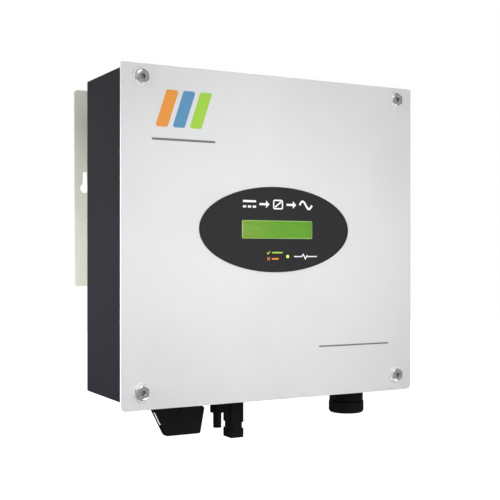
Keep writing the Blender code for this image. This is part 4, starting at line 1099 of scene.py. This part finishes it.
def underside_prints():
    """Off and on marks beside the isolator, and an earth sign beside the stud."""
    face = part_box("enclosure")[0].z
    axis, stud = middle("switch_shaft"), middle("earth_stud")
    reach, line, half = 0.0365, 0.0008, 0.0025
    zero_x, one_y = axis.x - reach, axis.y + reach
    angles = [math.tau * k / 40 for k in range(40)]
    zero = [(zero_x + 0.0016 * math.cos(a), axis.y + half * math.sin(a)) for a in angles]
    left, right, low, high = axis.x - half, axis.x + half, one_y - line / 2, one_y + line / 2
    outlines = [[(left, low), (right, low), (right, high), (left, high)]]
    sign_y = stud.y + 0.011
    for (x0, y0), (x1, y1) in (
        ((-0.0030, 0.0), (0.0030, 0.0)),
        ((-0.0020, 0.0015), (0.0020, 0.0015)),
        ((-0.0010, 0.0030), (0.0010, 0.0030)),
        ((0.0, -0.0032), (0.0, -0.0003)),
    ):
        outlines.append(stroke([(stud.x + x0, sign_y + y0), (stud.x + x1, sign_y + y1)], 0.0006))
    marks = [print_or_highlight_ring(zero, line, face, "Z")]
    marks += [prism(outline, face - INK, face + INK_SINK, "Z", 0) for outline in outlines]
    piece("underside_marks", together(*marks), "inverter", "white_ink")


def pv_connectors():
    """The slender socket with its ribbed collar, and the box-shaped plug with its snap notches."""
    low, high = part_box("pv_socket")
    at = middle("pv_socket")
    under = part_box("enclosure")[0].z - GAP
    collar, collar_low = 0.0075, low.z + 0.0157
    barrel, bore, channel = 0.0043, 0.0033, 0.0022
    groove = low.z + 0.0025
    outside = [
        (0.0050, high.z),
        (0.0050, under),
        (collar, under),
        (collar, collar_low),
        (barrel + 0.0001, collar_low),
        (barrel, groove + 0.0008),
        (barrel - 0.0003, groove + 0.0006),
        (barrel - 0.0003, groove),
        (barrel, groove - 0.0002),
        (barrel, low.z),
    ]
    inside = [(bore, low.z), (bore, low.z + 0.020), (channel, low.z + 0.020), (channel, high.z)]
    radii = [0.0002, 0.0002, 0.0009, 0.0009, 0.0004] + [0.0001] * 4 + [0.0003, 0.0003, 0.0002, 0.0002, 0.0002]
    profile = filleted(outside + inside, radii, 3)
    socket = turned(profile, "Z", at, 96, closed=True, radius_at=ripple(12, 0.0007, 0.0070))
    piece("pv_socket_shell", socket, "inverter", "black_plastic", "pv_socket")

    low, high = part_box("pv_plug")
    at = middle("pv_plug")
    wide, deep, corner = high.x - at.x, high.y - at.y, 0.0012
    notch_low, notch_high, notch = low.z + 0.0098, low.z + 0.0162, 0.0018
    slope = 0.0004
    neck = 0.0003

    def body(inset_x, inset_y, z):
        radius = max(corner - min(inset_x, inset_y), 0.0004)
        return ring_of(box_about(at, wide - inset_x, deep - inset_y, radius, 4), "Z", z)

    def hole(radius, z):
        ring = []
        for point in body(0, 0, z):
            way = Vector((point.x - at.x, point.y - at.y)).normalized()
            ring.append(Vector((at.x + way.x * radius, at.y + way.y * radius, z)))
        return ring

    rings = [body(0.0006, 0.0006, under), body(0, 0, under - 0.0006)]
    rings += [body(0, 0, notch_high), body(notch, 0, notch_high - slope)]
    rings += [body(notch, 0, notch_low + slope), body(0, 0, notch_low)]
    seam = notch_low - 0.0006
    rings += [body(0, 0, seam), body(neck, neck, seam - 0.0002)]
    rings += [body(neck, neck, seam - 0.0006), body(0, 0, seam - 0.0008)]
    rings += [body(inset, inset, low.z + depth) for inset, depth in reversed(rim(0.0008, 3))]
    bore, depth = 0.0048, 0.028
    rings += [hole(0.0053, low.z), hole(bore, low.z + 0.0005)]
    rings += [hole(bore, low.z + depth), hole(0.0022, low.z + depth)]
    profile = [(bore, under - 0.002), (0.0050, under), (0.0050, high.z - 0.0003), (0.0047, high.z)]
    stub = turned(profile, "Z", at, 40)
    piece("pv_plug_shell", together(lofted(rings), stub), "inverter", "black_plastic", "pv_plug")


def ac_connector():
    """The flanged receptacle for the grid lead, and the ribbed ring that locks the plug on it."""
    low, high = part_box("ac_receptacle")
    at = middle("ac_receptacle")
    ring_low, ring_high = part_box("ac_locking_ring")
    flange = high.x - at.x
    socket, core, stub = 0.0126, 0.0152, 0.0138
    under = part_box("enclosure")[0].z - GAP
    flange_low = ring_high.z + 0.0004
    section = [
        (socket, high.z),
        (stub, high.z),
        (stub, under),
        (flange, under),
        (flange, under - 0.0040),
        (flange - 0.0006, under - 0.0044),
        (flange - 0.0006, under - 0.0052),
        (flange, under - 0.0056),
        (flange, flange_low),
        (core, flange_low),
        (core, low.z),
        (socket, low.z),
    ]
    radii = [0.0003, 0.0003, 0.0002, 0.0008] + [0.0002] * 4 + [0.0007, 0.0003, 0.0005, 0.0005]
    receptacle = turned(filleted(section, radii, 3), "Z", at, 96, closed=True)
    piece("ac_receptacle_shell", receptacle, "inverter", "black_plastic", "ac_receptacle")

    outer = ring_high.x - at.x
    bore = core + GAP
    grip = [
        (bore, ring_high.z),
        (outer - 0.0004, ring_high.z),
        (outer, ring_high.z - 0.0008),
        (outer, ring_low.z + 0.0022),
        (outer - 0.0016, ring_low.z),
        (bore, ring_low.z),
    ]
    ribs = ripple(48, 0.00025, outer - 0.0002)
    ring = turned(filleted(grip, 0.0004, 3), "Z", at, 384, closed=True, radius_at=ribs)
    piece("ac_grip_ring", ring, "ac_ring", "black_plastic", "ac_locking_ring")

    pin_low, pin_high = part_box("ac_insert")
    insert_radius = pin_high.x - at.x
    step = pin_low.z + 0.0008
    section = [(insert_radius, pin_high.z), (insert_radius, pin_low.z), (0.0100, pin_low.z)]
    face = filleted(section + [(0.0096, step), (0.0010, step)], 0.0003, 2, False)
    piece("ac_pin_carrier", turned(face, "Z", at, 64), "inverter", "grey_plastic", "ac_insert")


def cross_recess(at, long, thin, start, end, axis):
    """Tools for a Phillips recess between two places along an axis."""
    bars = ((long, thin), (thin, long))
    return [prism(box_about(at, a, b, 0.0002, 2), start, end, axis, 0) for a, b in bars]


def communication_port():
    """The plate over the communication port, with two recessed screws."""
    low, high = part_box("comm_cover")
    screws = [middle("comm_screw_left"), middle("comm_screw_right")]
    outline = box_outline(low, high, "Z", 0.003, 6)
    recess_top, lap = low.z + 0.0012, 0.00002
    holes, through = ([circle((at.x, at.y), radius, 40) for at in screws] for radius in (0.0034, 0.002))
    outer_part = sheet(outline, holes, low.z, recess_top, "Z", 0.0004, 3)
    inner_part = sheet(moved_in(outline, lap), through, recess_top - lap, high.z, "Z", 0.00001, 1)
    piece("comm_plate", together(outer_part, inner_part), "inverter", "dark_grey_paint", "comm_cover")
    for name, at in zip(("left", "right"), screws):
        bottom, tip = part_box(f"comm_screw_{name}")
        head, seat = tip.x - at.x, recess_top - GAP
        profile = [(0.0012, tip.z), (0.0015, tip.z - 0.0004), (0.0015, seat), (head, seat)]
        profile += [(head, bottom.z + 0.0008), (head - 0.0003, bottom.z + 0.0003)]
        profile += [(head - 0.0009, bottom.z), (0.0004, bottom.z)]
        recess = cross_recess(at, 0.0014, 0.00035, bottom.z - 0.001, bottom.z + 0.0009, "Z")
        screw = cut(turned(profile, "Z", at, 48), *recess)
        piece(f"pan_screw_{name}", screw, "inverter", "bright_steel", f"comm_screw_{name}")


def earth_terminal():
    """A threaded stud and a chamfered nut."""
    low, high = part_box("earth_stud")
    at = middle("earth_stud")
    radius, pitch = 0.0025, 0.0008
    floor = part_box("enclosure")[0].z
    thread = []
    for k in range(int((floor - low.z - 0.0010) / pitch)):
        z = low.z + 0.0008 + k * pitch
        thread += [(radius - 0.0004, z), (radius, z + pitch * 0.35), (radius, z + pitch * 0.55)]
    profile = [(0.0008, low.z), (0.0019, low.z), (radius - 0.0004, low.z + 0.0005)] + thread
    profile += [(radius, floor), (radius, high.z - 0.0031), (0.0050, high.z - 0.0030), (0.0050, high.z)]
    piece("earth_bolt", turned(profile, "Z", at, 48), "inverter", "bright_steel", "earth_stud")

    nut_low, nut_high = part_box("earth_nut")
    flats, corner, bore = 0.008, 0.0046, radius + GAP
    section = [
        (bore, nut_high.z),
        (corner - 0.0007, nut_high.z),
        (corner, nut_high.z - 0.0005),
        (corner, nut_low.z + 0.0005),
        (corner - 0.0007, nut_low.z),
        (bore + 0.0003, nut_low.z),
        (bore, nut_low.z + 0.0003),
    ]
    nut = turned(section, "Z", at, 96, closed=True, radius_at=hexagon(flats, 0.0034))
    piece("earth_hex_nut", nut, "inverter", "bright_steel", "earth_nut")


def heatsink():
    """The extrusion: fins that taper to round tips, with filleted roots."""
    low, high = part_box("heatsink")
    fins, root_half, tip_half = 20, 0.0013, 0.0008
    base = low.y + 0.006
    width = high.x - low.x
    pitch = (width - 2 * root_half) / (fins - 1)
    tip = high.y
    fillet = 0.0012
    outline = [(high.x, low.y), (low.x, low.y)]
    for k in range(fins):
        x = low.x + root_half + k * pitch
        if k > 0:
            outline += arc((x - root_half - fillet, base + fillet), fillet, 270, 360, 3)
        outline += arc((x, tip - tip_half), tip_half, 180, 0, 6)
        if k < fins - 1:
            outline += arc((x + root_half + fillet, base + fillet), fillet, 180, 270, 3)
    shape = prism(outline[::-1], low.z, high.z - LIFT_ROOM, "Z", 0.0002, 1)
    piece("finned_heatsink", shape, "inverter", "extruded_aluminium", "heatsink")


def pan_screw_shape(at, seat):
    """A pan head that faces +Y, with a cross recess."""
    head, height = 0.0042, 0.0022
    profile = [(head, seat - 0.0002), (head, seat + 0.5 * height), (head - 0.0006, seat + 0.8 * height)]
    profile += [(head - 0.0016, seat + height), (0.0004, seat + height)]
    recess = cross_recess(at, 0.0019, 0.0005, seat + height - 0.0012, seat + height + 0.001, "Y")
    return cut(turned(profile, "Y", (at[0], 0, at[1]), 48), *recess)


def hanger_rail():
    """The folded channel that hooks over the bracket, and the screws that hold it to the box."""
    low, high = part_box("hanger_rail")
    thickness = 0.0025
    lip = 0.0755
    corners = [
        (low.y, low.z),
        (low.y, high.z),
        (high.y, high.z),
        (high.y, lip),
        (high.y - thickness, lip),
        (high.y - thickness, high.z - thickness),
        (low.y + thickness, high.z - thickness),
        (low.y + thickness, low.z),
    ]
    radii = [0.0006, 0.0032, 0.0032, 0.0006, 0.0006, 0.0008, 0.0008, 0.0006]
    shape = prism(filleted(corners, radii, 5), low.x, high.x, "X", 0.0004, 2)
    piece("folded_rail", shape, "inverter", "zinc_plate", "hanger_rail")
    seat = low.y + thickness
    middle_z = (low.z + high.z) / 2 - 0.004
    for k, share in enumerate((-0.85, -0.30, 0.30, 0.85)):
        at = (share * high.x, middle_z)
        piece(f"rail_screw_{k + 1}", pan_screw_shape(at, seat), "inverter", "bright_steel")


def keyhole(x, round_z, round_radius, slot_width, slot_top):
    half = slot_width / 2
    join_angle = math.degrees(math.asin(half / round_radius))
    bottom = arc((x, round_z), round_radius, 90 + join_angle, 450 - join_angle, 28)
    return bottom + arc((x, slot_top - half), half, 0, 180, 12)


def wall_bracket():
    """The zinc-plated sheet with keyholes and its two hooks bent out of it."""
    low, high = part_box("wall_bracket")
    front = -SHEET
    outline = box_outline(low, high, "Y", 0.004, 6)
    hook_x, hook_half, shelf, hook_top, window = 0.070, 0.017, 0.070, 0.086, 0.026
    holes = []
    for side in (-1, 1):
        holes.append(keyhole(side * (high.x - 0.0117), 0.0, 0.005, 0.0045, 0.0175))
        x = side * hook_x
        top = shelf - 0.0003
        holes.append(rounded_box((x - hook_half, top - window), (x + hook_half, top), 0.0008, 3))
    shapes = [sheet(outline, holes, front, 0, "Y", 0.0003, 2)]
    tip = low.y
    profile = [
        (front / 2, shelf),
        (tip, shelf),
        (tip, hook_top),
        (tip + SHEET, hook_top),
        (tip + SHEET, shelf + SHEET),
        (front / 2, shelf + SHEET),
    ]
    bent = filleted(profile, [0.0001, 0.0026, 0.0006, 0.0006, 0.0006, 0.0001], 5)
    for side in (-1, 1):
        x = side * hook_x
        shapes.append(prism(bent, x - hook_half, x + hook_half, "X", 0.0003, 2))
    piece("bracket_sheet", together(*shapes), "bracket", "zinc_plate", "wall_bracket")


def rest_pads():
    for name in ("rest_pad_left", "rest_pad_right"):
        low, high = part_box(name)
        pad = prism(box_outline(low, high, "Y", 0.002, 4), low.y, high.y, "Y", 0.0004, 2)
        piece(f"soft_{name}", pad, "inverter", "black_rubber", name)


# The studio


def area_light(name, place, target, size, power):
    data = bpy.data.lights.new(name, "AREA")
    data.shape = "RECTANGLE"
    data.size, data.size_y = size
    data.energy = power
    light = placed(name, data)
    light.location = place
    light.rotation_euler = (Vector(target) - Vector(place)).to_track_quat("-Z", "Y").to_euler()
    light.visible_camera = False
    return light


def room():
    """White surroundings, which light the inverter less than they show."""
    world = bpy.data.worlds.new("room")
    world.use_nodes = True
    tree = world.node_tree
    background = tree.nodes["Background"]
    background.inputs["Color"].default_value = (1.0, 1.0, 1.0, 1.0)
    path = tree.nodes.new("ShaderNodeLightPath")
    strength = tree.nodes.new("ShaderNodeMapRange")
    strength.inputs["To Min"].default_value = ROOM_LIGHT
    strength.inputs["To Max"].default_value = 1.0
    tree.links.new(path.outputs["Is Camera Ray"], strength.inputs["Value"])
    tree.links.new(strength.outputs["Result"], background.inputs["Strength"])
    bpy.context.scene.world = world
    bpy.context.scene.view_settings.view_transform = "Standard"


def floor():
    """Plain white paper far below."""
    paper = Surface("floor_paper", (0.90, 0.90, 0.90), 0.9, 0.0, 0.0)
    paper.tint(paper.noise(0.4, 3.0), (0.88, 0.88, 0.88), 0.4, 0.7)
    paper.bump(paper.noise(0.01, 2.0), 0.0001, 0.2)
    paper.set("Emission Color", (1.0, 1.0, 1.0, 1.0))
    paper.set("Emission Strength", 0.97)
    half, level = 14.0, -1.30
    outline = box_about((0, 0), half, half, 3.0, 8)
    shape = lofted([ring_of(outline, "Z", z) for z in (level - 0.01, level)])
    obj = placed("floor", mesh_of("floor", shape))
    obj.data.materials.append(MATERIALS["floor_paper"])
    obj.visible_diffuse = False
    obj.visible_glossy = False
    obj.visible_transmission = False


def flag(name, place, size):
    """A black card that only bright metal reflects."""
    card = Surface(f"{name}_card", (0.004, 0.004, 0.004), 0.9, 0.0, 0.0)
    card.tint(card.noise(0.05, 2.0), (0.006, 0.006, 0.006))
    outline = box_about((0, 0), size[0] / 2, size[1] / 2, 0.02, 3)
    obj = placed(name, mesh_of(name, prism(outline, -0.005, 0.005, "Z", 0)))
    obj.data.materials.append(MATERIALS[f"{name}_card"])
    obj.location = place
    obj.rotation_euler = (Vector((0, -0.14, -0.05)) - Vector(place)).to_track_quat("Z", "Y").to_euler()
    obj.visible_camera = False
    obj.visible_diffuse = False
    obj.visible_shadow = False
    obj.visible_transmission = False


def lights():
    """Soft lights: the near ones leave no reflection, and the small ones only sparkle on bright metal."""
    centre = (0.0, -0.10, -0.05)
    strip = (-0.16, 0.0, -0.07)
    key = area_light("key", (0.0, -0.56, -0.06), (0.0, -0.14, -0.05), (0.25, 0.25), 1.50)
    beside = area_light("beside", (-0.45, -0.125, -0.12), strip, (0.10, 0.10), 1.85)
    for light in (key, beside):
        light.visible_glossy = False
    area_light("front", (0.0, -2.3, 1.5), centre, (1.4, 1.2), 6.5)
    area_light("left", (-2.2, -0.9, 0.5), centre, (0.6, 1.4), 9.0)
    area_light("back", (0.8, 2.4, 1.0), centre, (1.6, 1.2), 22.0)
    for name, place in (("sparkle_low", (0.50, -0.80, -0.90)), ("sparkle_high", (-0.25, -1.05, 0.85))):
        sparkle = area_light(name, place, centre, (0.45, 0.45), 3.0)
        sparkle.visible_diffuse = False
    flag("flag_left", (-1.3, -1.25, -0.2), (0.45, 1.6))
    flag("flag_low", (-1.2, -0.5, -1.0), (1.0, 0.5))
    flag("flag_above", (0.75, -0.75, 1.20), (1.2, 0.7))
    flag("flag_right", (1.60, -0.30, 0.05), (0.7, 1.2))
    flag("flag_behind", (-0.25, 1.20, -0.75), (1.2, 0.8))


def camera():
    low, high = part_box("front_cover")
    centre = Vector(((low.x + high.x) / 2, low.y, (low.z + high.z) / 2))
    data = bpy.data.cameras.new("camera")
    data.lens = CAMERA_LENS
    data.shift_y = CAMERA_SHIFT
    data.clip_end = 60.0
    view = placed("camera", data)
    view.location = centre + Vector((-CAMERA_LEFT, -CAMERA_BEFORE_PLATE, -CAMERA_BELOW))
    view.rotation_euler = (math.pi / 2, 0, -CAMERA_TURN)
    bpy.context.scene.camera = view


make_materials()
finish_cad_nodes()
front_cover()
enclosure()
cover_gasket()
cover_fasteners()
display()
overlay_prints()
plate_prints()
switch()
underside_prints()
pv_connectors()
ac_connector()
communication_port()
earth_terminal()
heatsink()
hanger_rail()
wall_bracket()
rest_pads()
room()
floor()
lights()
camera()
